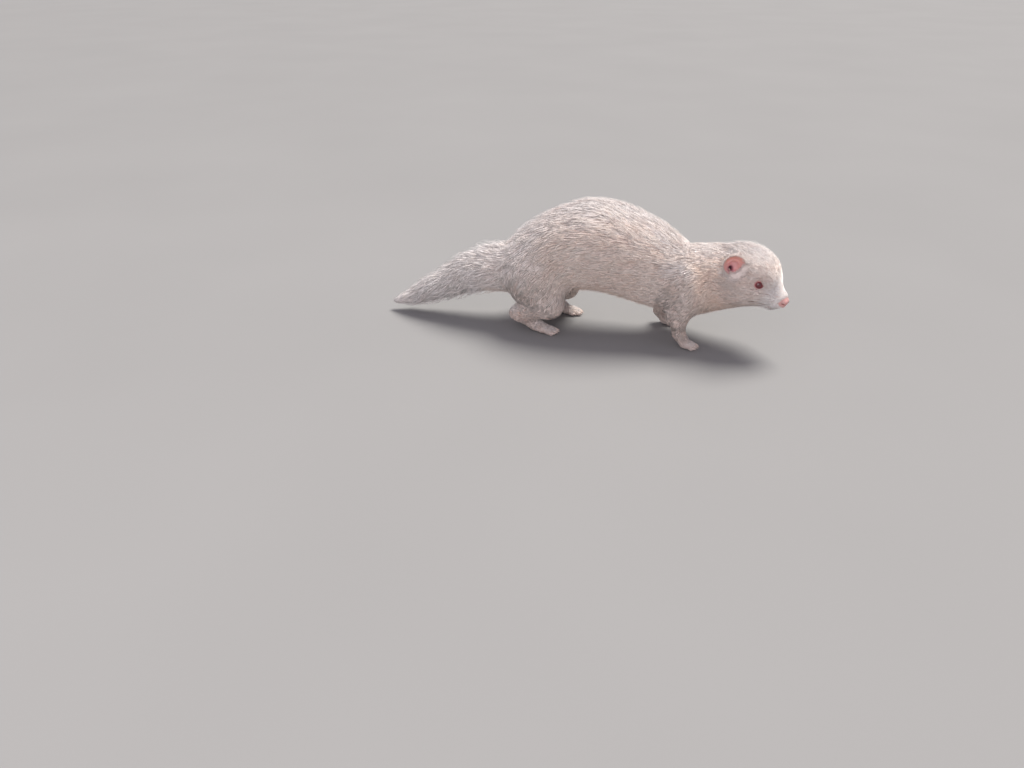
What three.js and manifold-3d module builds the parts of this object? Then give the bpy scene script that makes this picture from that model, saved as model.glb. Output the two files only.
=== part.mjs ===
// A walking ferret as a still, life-size model, in millimetres.
// The body frame has its origin on the floor under the nose, +X forward, +Y left and +Z up.
import * as THREE from 'three';
import { mergeVertices } from 'three/addons/utils/BufferGeometryUtils.js';
import Module from 'manifold-3d';

const wasm = await Module();
wasm.setup();

// The gap between neighbouring pieces, a length past the whole animal, an edge too short to keep and
// the height of a face too thin to keep
const gap = 0.3;
const reach = 600;
const tinyEdge = 0.05;
const sliver = 0.02;

// Middle of the spine, from the poll to the tip of the tail: distance behind the nose, distance to
// the left, height, half height and half width, all out to the tips of the coat
const spine = [
  { back: 50, left: -4, height: 68, tall: 24.7, wide: 23 },
  { back: 70, left: 2, height: 65.2, tall: 33.2, wide: 27.5 },
  { back: 90, left: 2, height: 61.5, tall: 35.2, wide: 29 },
  { back: 105, left: 1.5, height: 59, tall: 31.5, wide: 29.5 },
  { back: 120, left: 1, height: 66.5, tall: 37, wide: 31.5 },
  { back: 150, left: 1, height: 80, tall: 43.5, wide: 34 },
  { back: 185, left: 1, height: 88.5, tall: 46, wide: 36 },
  { back: 215, left: 1, height: 82.5, tall: 42, wide: 36.5 },
  { back: 240, left: 1, height: 72, tall: 36.5, wide: 34 },
  { back: 268, left: 1, height: 57, tall: 25, wide: 26 },
  { back: 290, left: 0, height: 56, tall: 25, wide: 21 },
  { back: 315, left: -1, height: 49, tall: 21.5, wide: 18 },
  { back: 340, left: -3, height: 36.7, tall: 16.2, wide: 14.5 },
  { back: 365, left: -5, height: 25.2, tall: 12.2, wide: 11.5 },
  { back: 386, left: -7, height: 15.5, tall: 7.5, wide: 8 },
  { back: 403, left: -8, height: 10, tall: 2, wide: 2 },
];
const spineSteps = 56;

// The head's own frame has its origin at the tip of the nose, turned by these angles in degrees
const noseHeight = 55.5;
const noseLeft = -25;
const headYaw = -25;
const headPitch = 18;
const headRoll = -7;

// Sizes in the head's frame: backward distances are negative, and sideways ones are for one side
const skull = { at: [-48.5, 0, 12], size: [28.5, 24, 21.5] };
const bridge = { from: [-38, 0, 11], to: [-13, 0, 1.8], fromRadius: 15.8, toRadius: 6.8 };
const muzzle = { from: [-34, 0, -0.5], to: [-12, 0, -1.2], fromRadius: 15.6, toRadius: 6.9 };
const cheek = { from: [-42, 9.5, -2], to: [-16, 3.2, -2.6], fromRadius: 14, toRadius: 7.2 };
const jaw = { from: [-46, 0, -8.3], to: [-14.5, 0, -9.4], fromRadius: 13.5, toRadius: 5 };
const jowl = { at: [-49, 13, -1], size: [22, 14, 19] };
const lipPad = { at: [-14, 4.4, -3.8], size: [7.6, 4.6, 4.4] };
const brow = { at: [-30, 9.9, 13], size: [8.3, 5.2, 4.4] };
const eye = { at: [-32, 14.3, 7.4], radius: 4.4, out: 64, up: 12 };
const lid = { wall: 1, length: 8.6, height: 6.8 };
const ear = { at: [-57, 26.8, 5.3], width: 19.5, height: 18.5, depth: 6, wall: 2.2, out: 58, lean: 2 };
const nosePad = { at: [-7.2, 0, 0.1], size: [6.4, 6.6, 5.4] };
const nostril = { at: [-2, 3.2, 0.4], size: [2.8, 1.4, 1.7] };
const mouth = { groove: 0.8, start: [-8, 0, -7.6], middle: [-20, 9.5, -8], end: [-32, 15, -6.8] };

// Legs: joints by distance behind the nose, distance to the side and height, with their radii, the
// flat root where a leg leaves the trunk, and the paw. A step shifts a paw along the floor.
const foreLeg = {
  joints: [[93, 20, 52], [104, 26, 35], [105, 26, 15]],
  radii: [17, 10.6, 6.4],
  muscle: { at: [-100, 20, 56], size: [21, 13, 27] },
  root: { at: [-99, 7, 22], length: 54, slant: 48, lean: -6 },
  paw: { length: 20, width: 17, toe: 2.9, claw: 4.6 },
};
const hindLeg = {
  joints: [[250, 20, 50], [229, 27, 33], [262, 26, 19], [243, 26, 9]],
  radii: [22, 15.5, 7.6, 6.6],
  muscle: { at: [-242, 20, 54], size: [29, 17, 29] },
  root: { at: [-246, 7, 23], length: 80, slant: 46, lean: 0 },
  paw: { length: 25, width: 18, toe: 3, claw: 4.2 },
};
const legs = [
  { name: 'foreleg_right', paw: 'forepaw_right', plan: foreLeg, side: -1, step: 10 },
  { name: 'foreleg_left', paw: 'forepaw_left', plan: foreLeg, side: 1, step: -22 },
  { name: 'hindleg_right', paw: 'hindpaw_right', plan: hindLeg, side: -1, step: 0 },
  { name: 'hindleg_left', paw: 'hindpaw_left', plan: hindLeg, side: 1, step: 20 },
];
const pawTop = 13;

// Cuts across the trunk, by distance behind the nose, height and lean in degrees
const trunkCuts = {
  shoulder: { back: 101, height: 65, lean: 8 },
  waist: { back: 163, height: 82, lean: 10 },
  loin: { back: 209, height: 84, lean: -8 },
  tail: { back: 291, height: 53, lean: -22 },
};
const headCut = { at: [-70, 0, 8], lean: 6 };

// Locks of the tail: distance behind the nose of the first and last tier, tiers, locks around, the
// length and thickness of the longest, and the share of its place around that each one covers. The
// core under them thins over a short length behind the rump to a share of the coat's height.
const tailLocks = {
  first: 287, last: 374, tiers: 7, around: 6, length: 40, shortest: 27, thick: 2.4, cover: 1, seed: 11,
};
const tailCore = { share: 0.5, start: 297, end: 322 };

// Fineness of each piece's surface
const cells = { head: 4, neck: 7, trunk: 9, tail: 8, leg: 5.8, paw: 2.7 };

// Materials
const coat = new THREE.MeshStandardMaterial({ color: 0xe9dfd2, roughness: 0.9, metalness: 0 });
const skin = new THREE.MeshStandardMaterial({ color: 0xe2a9a2, roughness: 0.6, metalness: 0 });
const pad = new THREE.MeshStandardMaterial({ color: 0xd98f8f, roughness: 0.45, metalness: 0 });
const iris = new THREE.MeshStandardMaterial({ color: 0x5e1420, roughness: 0.08, metalness: 0 });

// Soft joining of two distances over a blend length
function blend(a, b, length) {
  const share = Math.min(1, Math.max(0, 0.5 + (0.5 * (b - a)) / length));
  return b + (a - b) * share - length * share * (1 - share);
}

// Distance to an egg shape given by its middle and half sizes
function egg(p, at, size) {
  const x = p[0] - at[0];
  const y = p[1] - at[1];
  const z = p[2] - at[2];
  const near = Math.hypot(x / size[0], y / size[1], z / size[2]);
  const slope = Math.hypot(x / size[0] ** 2, y / size[1] ** 2, z / size[2] ** 2);
  return slope < 1e-9 ? -Math.min(...size) : (near * (near - 1)) / slope;
}

// Distance to a rounded cone between two points
function taper(p, from, to, fromRadius, toRadius) {
  const axis = [to[0] - from[0], to[1] - from[1], to[2] - from[2]];
  const offset = [p[0] - from[0], p[1] - from[1], p[2] - from[2]];
  const along = axis[0] * offset[0] + axis[1] * offset[1] + axis[2] * offset[2];
  const share = Math.min(1, Math.max(0, along / (axis[0] ** 2 + axis[1] ** 2 + axis[2] ** 2)));
  const across = offset.map((value, i) => value - axis[i] * share);
  return Math.hypot(...across) - (fromRadius + (toRadius - fromRadius) * share);
}

// The spine as short lengths with their half height and half width
const spineLine = new THREE.CatmullRomCurve3(
  spine.map((s) => new THREE.Vector3(-s.back, s.left, s.height)));
const spineGirth = new THREE.CatmullRomCurve3(
  spine.map((s) => new THREE.Vector3(s.tall, s.wide, 0)));
const vertebrae = Array.from({ length: spineSteps }, (_, i) => {
  const [start, end] = [i, i + 1].map((n) => spineLine.getPoint(n / spineSteps));
  const [girth, nextGirth] = [i, i + 1].map((n) => spineGirth.getPoint(n / spineSteps));
  const axis = end.sub(start);
  return { start, axis, girth, growth: nextGirth.sub(girth), level: Math.hypot(axis.x, axis.y) };
});

// Distance to the trunk and tail, whose sections are upright ovals along the spine
function trunk(p) {
  const point = new THREE.Vector3(...p);
  const offset = new THREE.Vector3();
  let nearest = Infinity;
  for (const { start, axis, girth, growth, level } of vertebrae) {
    offset.subVectors(point, start);
    const share = THREE.MathUtils.clamp(offset.dot(axis) / axis.lengthSq(), 0, 1);
    const tall = girth.x + growth.x * share;
    const wide = girth.y + growth.y * share;
    offset.addScaledVector(axis, -share);
    const radius = offset.length();
    if (radius - Math.max(tall, wide) < nearest) {
      const across = (offset.y * axis.x - offset.x * axis.y) / level;
      const rise = Math.sqrt(Math.max(0, radius * radius - across * across));
      const stretch = Math.hypot(rise / tall, across / wide);
      nearest = Math.min(nearest, stretch < 1e-6 ? -wide : radius - radius / stretch);
    }
  }
  return nearest;
}

// The head's frame as a matrix, and back again
const headFrame = new THREE.Matrix4().compose(
  new THREE.Vector3(0, noseLeft, noseHeight),
  new THREE.Quaternion().setFromEuler(new THREE.Euler(
    THREE.MathUtils.degToRad(headRoll),
    THREE.MathUtils.degToRad(headPitch),
    THREE.MathUtils.degToRad(headYaw),
    'ZYX')),
  new THREE.Vector3(1, 1, 1));
const headFrameBack = headFrame.clone().invert();

// Moves a point given as three numbers through a matrix
function moved(p, matrix) {
  return new THREE.Vector3(...p).applyMatrix4(matrix).toArray();
}

// Distance to the head without its ears, in the head's own frame, where both sides are alike
function headForm(p) {
  const q = [p[0], Math.abs(p[1]), p[2]];
  let d = egg(q, skull.at, skull.size);
  d = blend(d, taper(q, bridge.from, bridge.to, bridge.fromRadius, bridge.toRadius), 9);
  d = blend(d, taper(q, muzzle.from, muzzle.to, muzzle.fromRadius, muzzle.toRadius), 9);
  d = blend(d, taper(q, cheek.from, cheek.to, cheek.fromRadius, cheek.toRadius), 6);
  d = blend(d, taper(q, jaw.from, jaw.to, jaw.fromRadius, jaw.toRadius), 4);
  d = blend(d, egg(q, jowl.at, jowl.size), 8);
  d = blend(d, egg(q, lipPad.at, lipPad.size), 5);
  d = blend(d, egg(q, brow.at, brow.size), 7);
  return d;
}

// A leg's joints in the body frame, sheared along the floor by its step
function legPoints(leg) {
  const top = leg.plan.joints[0][2];
  return leg.plan.joints.map(([back, side, height]) => [
    -back + leg.step * (1 - height / top),
    leg.side * side,
    height,
  ]);
}

// Distance to a leg from its root muscle to the ankle
function legForm(p, leg) {
  const { muscle, radii } = leg.plan;
  const points = legPoints(leg);
  let d = egg(p, [muscle.at[0], leg.side * muscle.at[1], muscle.at[2]], muscle.size);
  for (let i = 0; i + 1 < points.length; i += 1) {
    d = blend(d, taper(p, points[i], points[i + 1], radii[i], radii[i + 1]), i === 0 ? 10 : 5);
  }
  return d;
}

// A paw's toes, spread like a fan, each with a root, a knuckle and a tip
function toesOf(leg) {
  const { length, width, toe } = leg.plan.paw;
  const ankle = legPoints(leg).at(-1);
  return [-1, -0.52, 0, 0.52, 1].map((spread) => {
    const inner = spread * leg.side < -0.9;
    const long = length * (inner ? 0.72 : 1 - 0.14 * spread ** 2);
    const y = ankle[1] + spread * (width / 2 - toe);
    return {
      root: [ankle[0] + long * 0.3, ankle[1] + (y - ankle[1]) * 0.62, toe * 1.55],
      knuckle: [ankle[0] + long * 0.66, y - spread * 0.6, toe * 1.35],
      tip: [ankle[0] + long - toe, y + spread * 0.8, toe * 0.72],
      radius: toe * (inner ? 0.85 : 1),
      turn: spread * 9,
    };
  });
}

// Distance to a paw below its ankle
function pawForm(p, leg) {
  const { toe } = leg.plan.paw;
  const ankle = legPoints(leg).at(-1);
  const toes = toesOf(leg);
  const palm = [toes[2].root[0] + 1.5, ankle[1], toe * 1.5];
  let d = taper(p, ankle, palm, leg.plan.radii.at(-1), toe * 1.9);
  for (const { root, knuckle, tip, radius } of toes) {
    const back = taper(p, root, knuckle, radius, radius * 1.06);
    const front = taper(p, knuckle, tip, radius * 1.06, radius * 0.82);
    d = blend(d, Math.min(back, front), 1.6);
  }
  return d;
}

// Distance to the whole body above its paws, without ears, nose pad and lids
function body(p) {
  let d = trunk(p);
  for (const leg of legs) {
    d = blend(d, legForm(p, leg), 9);
  }
  return blend(d, headForm(moved(p, headFrameBack)), 14);
}

// Slope of a distance
function slopeOf(form, p) {
  const h = 0.05;
  return [0, 1, 2].map((axis) => {
    const ahead = [...p];
    const behind = [...p];
    ahead[axis] += h;
    behind[axis] -= h;
    return (form(ahead) - form(behind)) / (2 * h);
  });
}

// Moves a point onto a form's surface along its slope
function settle(form, p, steps = 3) {
  let q = [...p];
  for (let i = 0; i < steps; i += 1) {
    const slope = slopeOf(form, q);
    const size = slope[0] ** 2 + slope[1] ** 2 + slope[2] ** 2;
    const d = form(q);
    q = q.map((value, axis) => value - (d * slope[axis]) / Math.max(size, 0.25));
  }
  return q;
}

// A closed net over a form's surface inside a box of cells
function net(form, low, high, cell) {
  const counts = low.map((value, axis) => Math.ceil((high[axis] - value) / cell) + 1);
  const [nx, ny, nz] = counts;
  const corner = (i, j, k) => [low[0] + i * cell, low[1] + j * cell, low[2] + k * cell];
  const place = (i, j, k) => (i * ny + j) * nz + k;
  const values = new Float64Array(nx * ny * nz);
  for (let i = 0; i < nx; i += 1) {
    for (let j = 0; j < ny; j += 1) {
      for (let k = 0; k < nz; k += 1) {
        const rim = i === 0 || j === 0 || k === 0 || i === nx - 1 || j === ny - 1 || k === nz - 1;
        values[place(i, j, k)] = rim ? cell : form(corner(i, j, k));
      }
    }
  }
  const points = [];
  const owner = new Map();
  const pointOf = (i, j, k) => {
    const key = place(i, j, k);
    if (!owner.has(key)) {
      owner.set(key, points.length / 3);
      points.push(...cellPoint(values, place, corner, [i, j, k], cell, form, counts));
    }
    return owner.get(key);
  };
  const faces = [];
  for (let i = 1; i < nx - 1; i += 1) {
    for (let j = 1; j < ny - 1; j += 1) {
      for (let k = 1; k < nz - 1; k += 1) {
        for (const [dx, dy, dz] of [[1, 0, 0], [0, 1, 0], [0, 0, 1]]) {
          const here = values[place(i, j, k)] < 0;
          const there = values[place(i + dx, j + dy, k + dz)] < 0;
          if (here !== there) {
            const ring = ringAround(i, j, k, dx, dy).map((one) => pointOf(...one));
            pushQuad(faces, points, here ? ring : ring.reverse());
          }
        }
        for (const [dx, dy, dz] of [[1, 0, 0], [0, 1, 0], [0, 0, 1]]) {
          const rimBefore = [i, j, k][dx ? 0 : dy ? 1 : 2] === 1;
          if (rimBefore && values[place(i, j, k)] < 0) {
            const ring = ringAround(i - dx, j - dy, k - dz, dx, dy).map((one) => pointOf(...one));
            pushQuad(faces, points, ring.reverse());
          }
        }
      }
    }
  }
  const geometry = new THREE.BufferGeometry();
  geometry.setAttribute('position', new THREE.Float32BufferAttribute(points, 3));
  geometry.setIndex(faces);
  return geometry;
}

// The four cells around one edge of the grid, in order
function ringAround(i, j, k, dx, dy) {
  if (dx) {
    return [[i, j - 1, k - 1], [i, j, k - 1], [i, j, k], [i, j - 1, k]];
  }
  if (dy) {
    return [[i - 1, j, k - 1], [i - 1, j, k], [i, j, k], [i, j, k - 1]];
  }
  return [[i - 1, j - 1, k], [i, j - 1, k], [i, j, k], [i - 1, j, k]];
}

// The net's point in one cell: the mean of its edge crossings, then settled on the surface
function cellPoint(values, place, corner, [i, j, k], cell, form, counts) {
  const corners = [];
  for (let n = 0; n < 8; n += 1) {
    const at = [i + (n & 1), j + ((n >> 1) & 1), k + ((n >> 2) & 1)];
    corners.push({ value: values[place(...at)], at: corner(...at) });
  }
  const sum = [0, 0, 0];
  let count = 0;
  for (let n = 0; n < 8; n += 1) {
    for (const bit of [1, 2, 4]) {
      const a = corners[n];
      const b = corners[n | bit];
      if (!(n & bit) && a.value < 0 !== b.value < 0) {
        const share = a.value / (a.value - b.value);
        sum.forEach((_, axis) => {
          sum[axis] += a.at[axis] + (b.at[axis] - a.at[axis]) * share;
        });
        count += 1;
      }
    }
  }
  const middle = sum.map((value) => value / count);
  const rim = [i, j, k].some((value, axis) => value === 0 || value === counts[axis] - 2);
  if (rim) {
    return middle;
  }
  const settled = settle(form, middle);
  const shift = Math.hypot(...settled.map((value, axis) => value - middle[axis]));
  return shift < 0.8 * cell ? settled : middle;
}

// Adds a four-sided face as two triangles, split along its shorter diagonal
function pushQuad(faces, points, [a, b, c, d]) {
  const apart = (m, n) => Math.hypot(...[0, 1, 2].map((x) => points[3 * m + x] - points[3 * n + x]));
  if (apart(a, c) < apart(b, d)) {
    faces.push(a, b, c, a, c, d);
  } else {
    faces.push(a, b, d, b, c, d);
  }
}

// A closed geometry as a solid that can be joined and cut
function solidOf(geometry) {
  const bare = geometry.clone();
  bare.deleteAttribute('normal');
  bare.deleteAttribute('uv');
  const merged = mergeVertices(bare, 1e-4);
  return new wasm.Manifold(new wasm.Mesh({
    numProp: 3,
    vertProperties: new Float32Array(merged.attributes.position.array),
    triVerts: new Uint32Array(merged.index.array),
  }));
}

// The largest closed surface of a solid, as a geometry without the tiny edges that cuts leave
function geometryOf(solid) {
  const largest = solid.decompose().sort((a, b) => b.volume() - a.volume())[0];
  const { vertProperties: points, triVerts: corners } = largest.getMesh();
  const owner = Array.from({ length: points.length / 3 }, (_, i) => i);
  const find = (i) => (owner[i] === i ? i : find(owner[i]));
  const apart = (a, b) => Math.hypot(...[0, 1, 2].map((x) => points[3 * a + x] - points[3 * b + x]));
  const after = (i) => corners[i % 3 === 2 ? i - 2 : i + 1];
  const near = owner.map(() => new Set());
  corners.forEach((a, i) => near[a].add(after(i)) && near[after(i)].add(a));
  for (let i = 0; i < corners.length; i += 1) {
    const [a, b] = [find(corners[i]), find(after(i))];
    const shared = [...near[a]].filter((one) => near[b].has(one));
    if (a !== b && shared.length === 2 && apart(a, b) < tinyEdge) {
      owner[b] = a;
      near[b].forEach((one) => near[one].delete(b) && near[one].add(a) && near[a].add(one));
      near[a].delete(a);
      near[a].delete(b);
    }
  }
  const faces = [];
  for (let i = 0; i < corners.length; i += 3) {
    const [a, b, c] = [0, 1, 2].map((n) => find(corners[i + n]));
    if (a !== b && b !== c && c !== a) {
      faces.push(a, b, c);
    }
  }
  flipSlivers(points, faces);
  partTwins(points, faces);
  const geometry = new THREE.BufferGeometry();
  geometry.setAttribute('position', new THREE.BufferAttribute(points, 3));
  geometry.setIndex(faces);
  return geometry;
}

// Turns the long edge of a sliver to its other diagonal, where that leaves both faces thicker
function flipSlivers(points, faces) {
  const place = (i) => new THREE.Vector3().fromArray(points, 3 * i);
  const height = (...face) => {
    const [a, b, c] = face.map(place);
    const longest = Math.max(a.distanceTo(b), b.distanceTo(c), c.distanceTo(a));
    return b.sub(a).cross(c.sub(a)).length() / longest;
  };
  for (let round = 0; round < 4; round += 1) {
    const sides = new Map();
    faces.forEach((a, i) => sides.set(`${a},${faces[i % 3 === 2 ? i - 2 : i + 1]}`, i));
    const touched = new Set();
    for (let i = 0; i < faces.length; i += 1) {
      const start = i - (i % 3);
      const [a, b, c] = [0, 1, 2].map((n) => faces[start + ((i + n) % 3)]);
      const other = sides.get(`${b},${a}`);
      const otherStart = other - (other % 3);
      const d = faces[otherStart + ((other + 2) % 3)];
      const before = Math.min(height(a, b, c), height(b, a, d));
      const after = Math.min(height(a, d, c), height(d, b, c));
      const better = before < sliver && after > 1.5 * before;
      const free = ![start, otherStart].some((one) => touched.has(one));
      const taken = sides.has(`${c},${d}`) || sides.has(`${d},${c}`);
      if (better && free && !taken) {
        faces.splice(start, 3, a, d, c);
        faces.splice(otherStart, 3, d, b, c);
        touched.add(start).add(otherStart);
        sides.set(`${c},${d}`, -1);
      }
    }
  }
}

// Draws corners that share one place a little apart, each toward its own neighbours
function partTwins(points, faces) {
  const around = new Map();
  for (let i = 0; i < faces.length; i += 1) {
    const next = faces[i % 3 === 2 ? i - 2 : i + 1];
    around.set(faces[i], [...(around.get(faces[i]) ?? []), next]);
  }
  const places = new Map();
  for (const corner of around.keys()) {
    const key = [0, 1, 2].map((x) => points[3 * corner + x].toFixed(2)).join();
    places.set(key, [...(places.get(key) ?? []), corner]);
  }
  for (const twins of [...places.values()].filter((corners) => corners.length > 1)) {
    for (const corner of twins) {
      const near = around.get(corner);
      for (const x of [0, 1, 2]) {
        const mean = near.reduce((sum, other) => sum + points[3 * other + x], 0) / near.length;
        points[3 * corner + x] += 0.08 * (mean - points[3 * corner + x]);
      }
    }
  }
}

// A turn about Z, then Y, then X, in degrees
function turned(yaw, pitch, roll = 0) {
  const [x, y, z] = [roll, pitch, yaw].map((angle) => THREE.MathUtils.degToRad(angle));
  return new THREE.Quaternion().setFromEuler(new THREE.Euler(x, y, z, 'ZYX'));
}

// A block that fills the space on one side of a flat cut, with half a gap on the near side too
function beyond(at, turn, side) {
  const block = new THREE.BoxGeometry(reach, reach, reach);
  block.translate((side * (reach - gap)) / 2, 0, 0);
  block.applyQuaternion(turn);
  block.translate(...at);
  return solidOf(block);
}

// The flat cuts by name, each with the side that faces forward as +1
const cuts = Object.fromEntries(Object.entries(trunkCuts).map(([name, cut]) => [
  name, { at: [-cut.back, 0, cut.height], turn: turned(0, cut.lean) }]));
const headTurn = new THREE.Quaternion().setFromRotationMatrix(headFrame);
cuts.head = { at: moved(headCut.at, headFrame), turn: headTurn.clone().multiply(turned(0, headCut.lean)) };

// What lies behind or ahead of a named cut
const behindCut = (name) => beyond(cuts[name].at, cuts[name].turn, -1);
const aheadOfCut = (name) => beyond(cuts[name].at, cuts[name].turn, 1);

// The block that holds one leg below its slanted root, wider by a gap for what it is cut from
function legBlock(leg, extra, frame = new THREE.Matrix4()) {
  const { at, length, slant, lean } = leg.plan.root;
  const block = new THREE.BoxGeometry(length + 2 * extra, reach, reach);
  block.translate(0, 0, -reach / 2 + extra);
  block.applyQuaternion(turned(0, lean, leg.side * slant));
  block.translate(at[0], leg.side * at[1], at[2]);
  return solidOf(block.applyMatrix4(frame));
}

// Everything under the floor
const underFloor = beyond([0, 0, -gap / 2], turned(0, 90), 1);

const ferret = new THREE.Group();
ferret.name = 'ferret';
const headGroup = new THREE.Group();
headGroup.name = 'head_group';
headGroup.applyMatrix4(headFrame);
ferret.add(headGroup);

// Names a solid and hangs it in a group
function addPiece(group, name, solid, material) {
  const mesh = new THREE.Mesh(geometryOf(solid), material);
  mesh.name = name;
  group.add(mesh);
  return mesh;
}

// Trunk: neck, chest, belly and rump, each between two cuts and clear of the legs' blocks
const legBlocks = legs.map((leg) => legBlock(leg, gap));
function addTrunkPiece(name, front, back, low, high, cell) {
  let solid = solidOf(net(body, low, high, cell));
  solid = solid.subtract(aheadOfCut(front)).subtract(behindCut(back));
  for (const block of legBlocks) {
    solid = solid.subtract(block);
  }
  addPiece(ferret, name, solid, coat);
}
addTrunkPiece('neck', 'head', 'shoulder', [-130, -56, 8], [-30, 56, 124], cells.neck);
addTrunkPiece('chest', 'shoulder', 'waist', [-186, -52, 4], [-78, 52, 142], cells.trunk);
addTrunkPiece('belly', 'waist', 'loin', [-236, -52, 20], [-140, 52, 148], cells.trunk);
addTrunkPiece('rump', 'loin', 'tail', [-318, -52, 6], [-184, 52, 142], cells.trunk);

// A claw that curves down from the end of a toe
function claw({ tip, radius, turn }, length) {
  const horn = new THREE.ConeGeometry(radius * 0.36, length, 6);
  horn.rotateZ(-Math.PI / 2);
  horn.translate(length / 2 + radius * 0.1, 0, 0);
  horn.applyQuaternion(turned(turn, 18));
  horn.translate(tip[0], tip[1], tip[2] + radius * 0.35);
  return solidOf(horn);
}

// Legs down to the flat cut above each paw, and paws with their toes and claws on the floor
const ankleCut = [0, 0, pawTop];
const upright = turned(0, 90);
for (const leg of legs) {
  const points = legPoints(leg);
  const xs = points.map((point) => point[0]);
  const ankle = points.at(-1);
  const legLow = [Math.min(...xs) - 26, ankle[1] - 34, 3];
  const legHigh = [Math.max(...xs) + 30, ankle[1] + 34, 100];
  const whole = solidOf(net(body, legLow, legHigh, cells.leg));
  const limb = whole.intersect(legBlock(leg, 0)).subtract(beyond(ankleCut, upright, 1));
  addPiece(ferret, leg.name, limb, coat);
  const { length, width, claw: clawLength } = leg.plan.paw;
  const foot = (p) => blend(legForm(p, leg), pawForm(p, leg), 3);
  const pawLow = [Math.min(...xs) - 12, ankle[1] - width / 2 - 5, -4];
  const pawHigh = [ankle[0] + length + 4, ankle[1] + width / 2 + 5, pawTop + 5];
  let paw = solidOf(net(foot, pawLow, pawHigh, cells.paw));
  for (const toe of toesOf(leg)) {
    paw = paw.add(claw(toe, clawLength));
  }
  paw = paw.subtract(beyond(ankleCut, upright, -1)).subtract(underFloor);
  addPiece(ferret, leg.paw, paw, coat);
}

// The body's surface in the head's frame, and a copy one gap larger that trims what sits on it
const headBody = (p) => body(moved(p, headFrame));
const headLow = [-92, -42, -56];
const headHigh = [8, 42, 44];
const wideHead = solidOf(net((p) => headBody(p) - gap, headLow, headHigh, cells.head));

// A ball with half sizes along the head's axes
function ball(at, size, around = 14, along = 9) {
  const shape = new THREE.SphereGeometry(1, around, along);
  shape.scale(...size);
  shape.translate(...at);
  return solidOf(shape);
}

// The direction in which an eye or ear looks, as a turn of its +X
const lookOut = (one, side) => turned(side * one.out, -(one.up ?? 0));

// An almond-shaped opening in front of an eye
function lidOpening(side) {
  const half = lid.length / 2;
  const outline = new THREE.Shape();
  outline.moveTo(-half, 0);
  outline.quadraticCurveTo(0, lid.height, half, 0);
  outline.quadraticCurveTo(0, -lid.height, -half, 0);
  const opening = new THREE.ExtrudeGeometry(outline, { depth: 14, bevelEnabled: false, curveSegments: 6 });
  opening.rotateX(Math.PI / 2);
  opening.rotateZ(Math.PI / 2);
  opening.applyQuaternion(lookOut(eye, side));
  opening.translate(eye.at[0], side * eye.at[1], eye.at[2]);
  return solidOf(opening);
}

// A groove along the head's surface through a few points
function groove(points, radius) {
  const line = new THREE.CatmullRomCurve3(points.map((point) => new THREE.Vector3(...point)));
  const settled = line.getPoints(12).map((point) => settle(headBody, point.toArray()));
  const path = new THREE.CatmullRomCurve3(settled.map((point) => new THREE.Vector3(...point)));
  const section = new THREE.Shape(new THREE.EllipseCurve(0, 0, radius, radius).getPoints(6).slice(1));
  return solidOf(new THREE.ExtrudeGeometry(section, { steps: 20, extrudePath: path, bevelEnabled: false }));
}

// A cupped ear that looks along +X, with its rounded edge standing up along +Z. With some room it is
// the filled plug instead that hollows the head for it.
function earShape(side, room = 0) {
  const rings = 5;
  const around = 18;
  const points = [];
  const faces = [];
  for (const face of [0, 1]) {
    for (let ring = 0; ring <= rings; ring += 1) {
      const out = ring / rings;
      const depth = ear.depth * (1 - out ** 2);
      const wall = face * (ear.wall * (1 - 0.3 * out ** 4) + room);
      const front = room && !face ? 14 * (1 - out ** 6) : -depth;
      for (let step = 0; step < around; step += 1) {
        const angle = (2 * Math.PI * step) / around;
        const y = out * (ear.width / 2 + room) * Math.cos(angle);
        const z = out * (ear.height / 2 + room) * Math.sin(angle) + ear.height / 2;
        points.push(face ? -depth - wall : front, y, z);
      }
    }
  }
  const at = (face, ring, step) => (face * (rings + 1) + ring) * around + (step % around);
  for (let step = 0; step < around; step += 1) {
    const next = step + 1;
    for (let ring = 0; ring < rings; ring += 1) {
      const front = [at(0, ring, step), at(0, ring + 1, step), at(0, ring + 1, next), at(0, ring, next)];
      const back = [at(1, ring, step), at(1, ring, next), at(1, ring + 1, next), at(1, ring + 1, step)];
      for (const [a, b, c, d] of [front, back]) {
        faces.push(a, b, c, a, c, d);
      }
    }
    const [a, b, c, d] = [at(0, rings, step), at(1, rings, step), at(1, rings, next), at(0, rings, next)];
    faces.push(a, b, c, a, c, d);
  }
  const geometry = new THREE.BufferGeometry();
  geometry.setAttribute('position', new THREE.Float32BufferAttribute(points, 3));
  geometry.setIndex(faces);
  geometry.applyQuaternion(lookOut(ear, side).multiply(turned(0, -ear.lean)));
  geometry.translate(ear.at[0], side * ear.at[1], ear.at[2]);
  return solidOf(geometry);
}

// Head with its ear hollows, lids, eye sockets and the line of its mouth
const mirrored = ([x, y, z]) => [x, -y, z];
let headSolid = solidOf(net(headBody, headLow, headHigh, cells.head));
for (const side of [-1, 1]) {
  const at = [eye.at[0], side * eye.at[1], eye.at[2]];
  const lidRadius = eye.radius + gap + lid.wall;
  headSolid = headSolid.add(ball(at, [lidRadius, lidRadius, lidRadius]));
  headSolid = headSolid.subtract(lidOpening(side));
  const socket = eye.radius + gap;
  headSolid = headSolid.subtract(ball(at, [socket, socket, socket])).subtract(earShape(side, gap));
  const half = side < 0 ? 'right' : 'left';
  addPiece(headGroup, `eye_${half}`, ball(at, [eye.radius, eye.radius, eye.radius]), iris);
  addPiece(headGroup, `ear_${half}`, earShape(side), skin);
}
const mouthLine = [mirrored(mouth.end), mirrored(mouth.middle), mouth.start, mouth.middle, mouth.end];
headSolid = headSolid.subtract(groove(mouthLine, mouth.groove));
const poll = turned(0, headCut.lean);
headSolid = headSolid.subtract(beyond(headCut.at, poll, -1));
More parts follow.
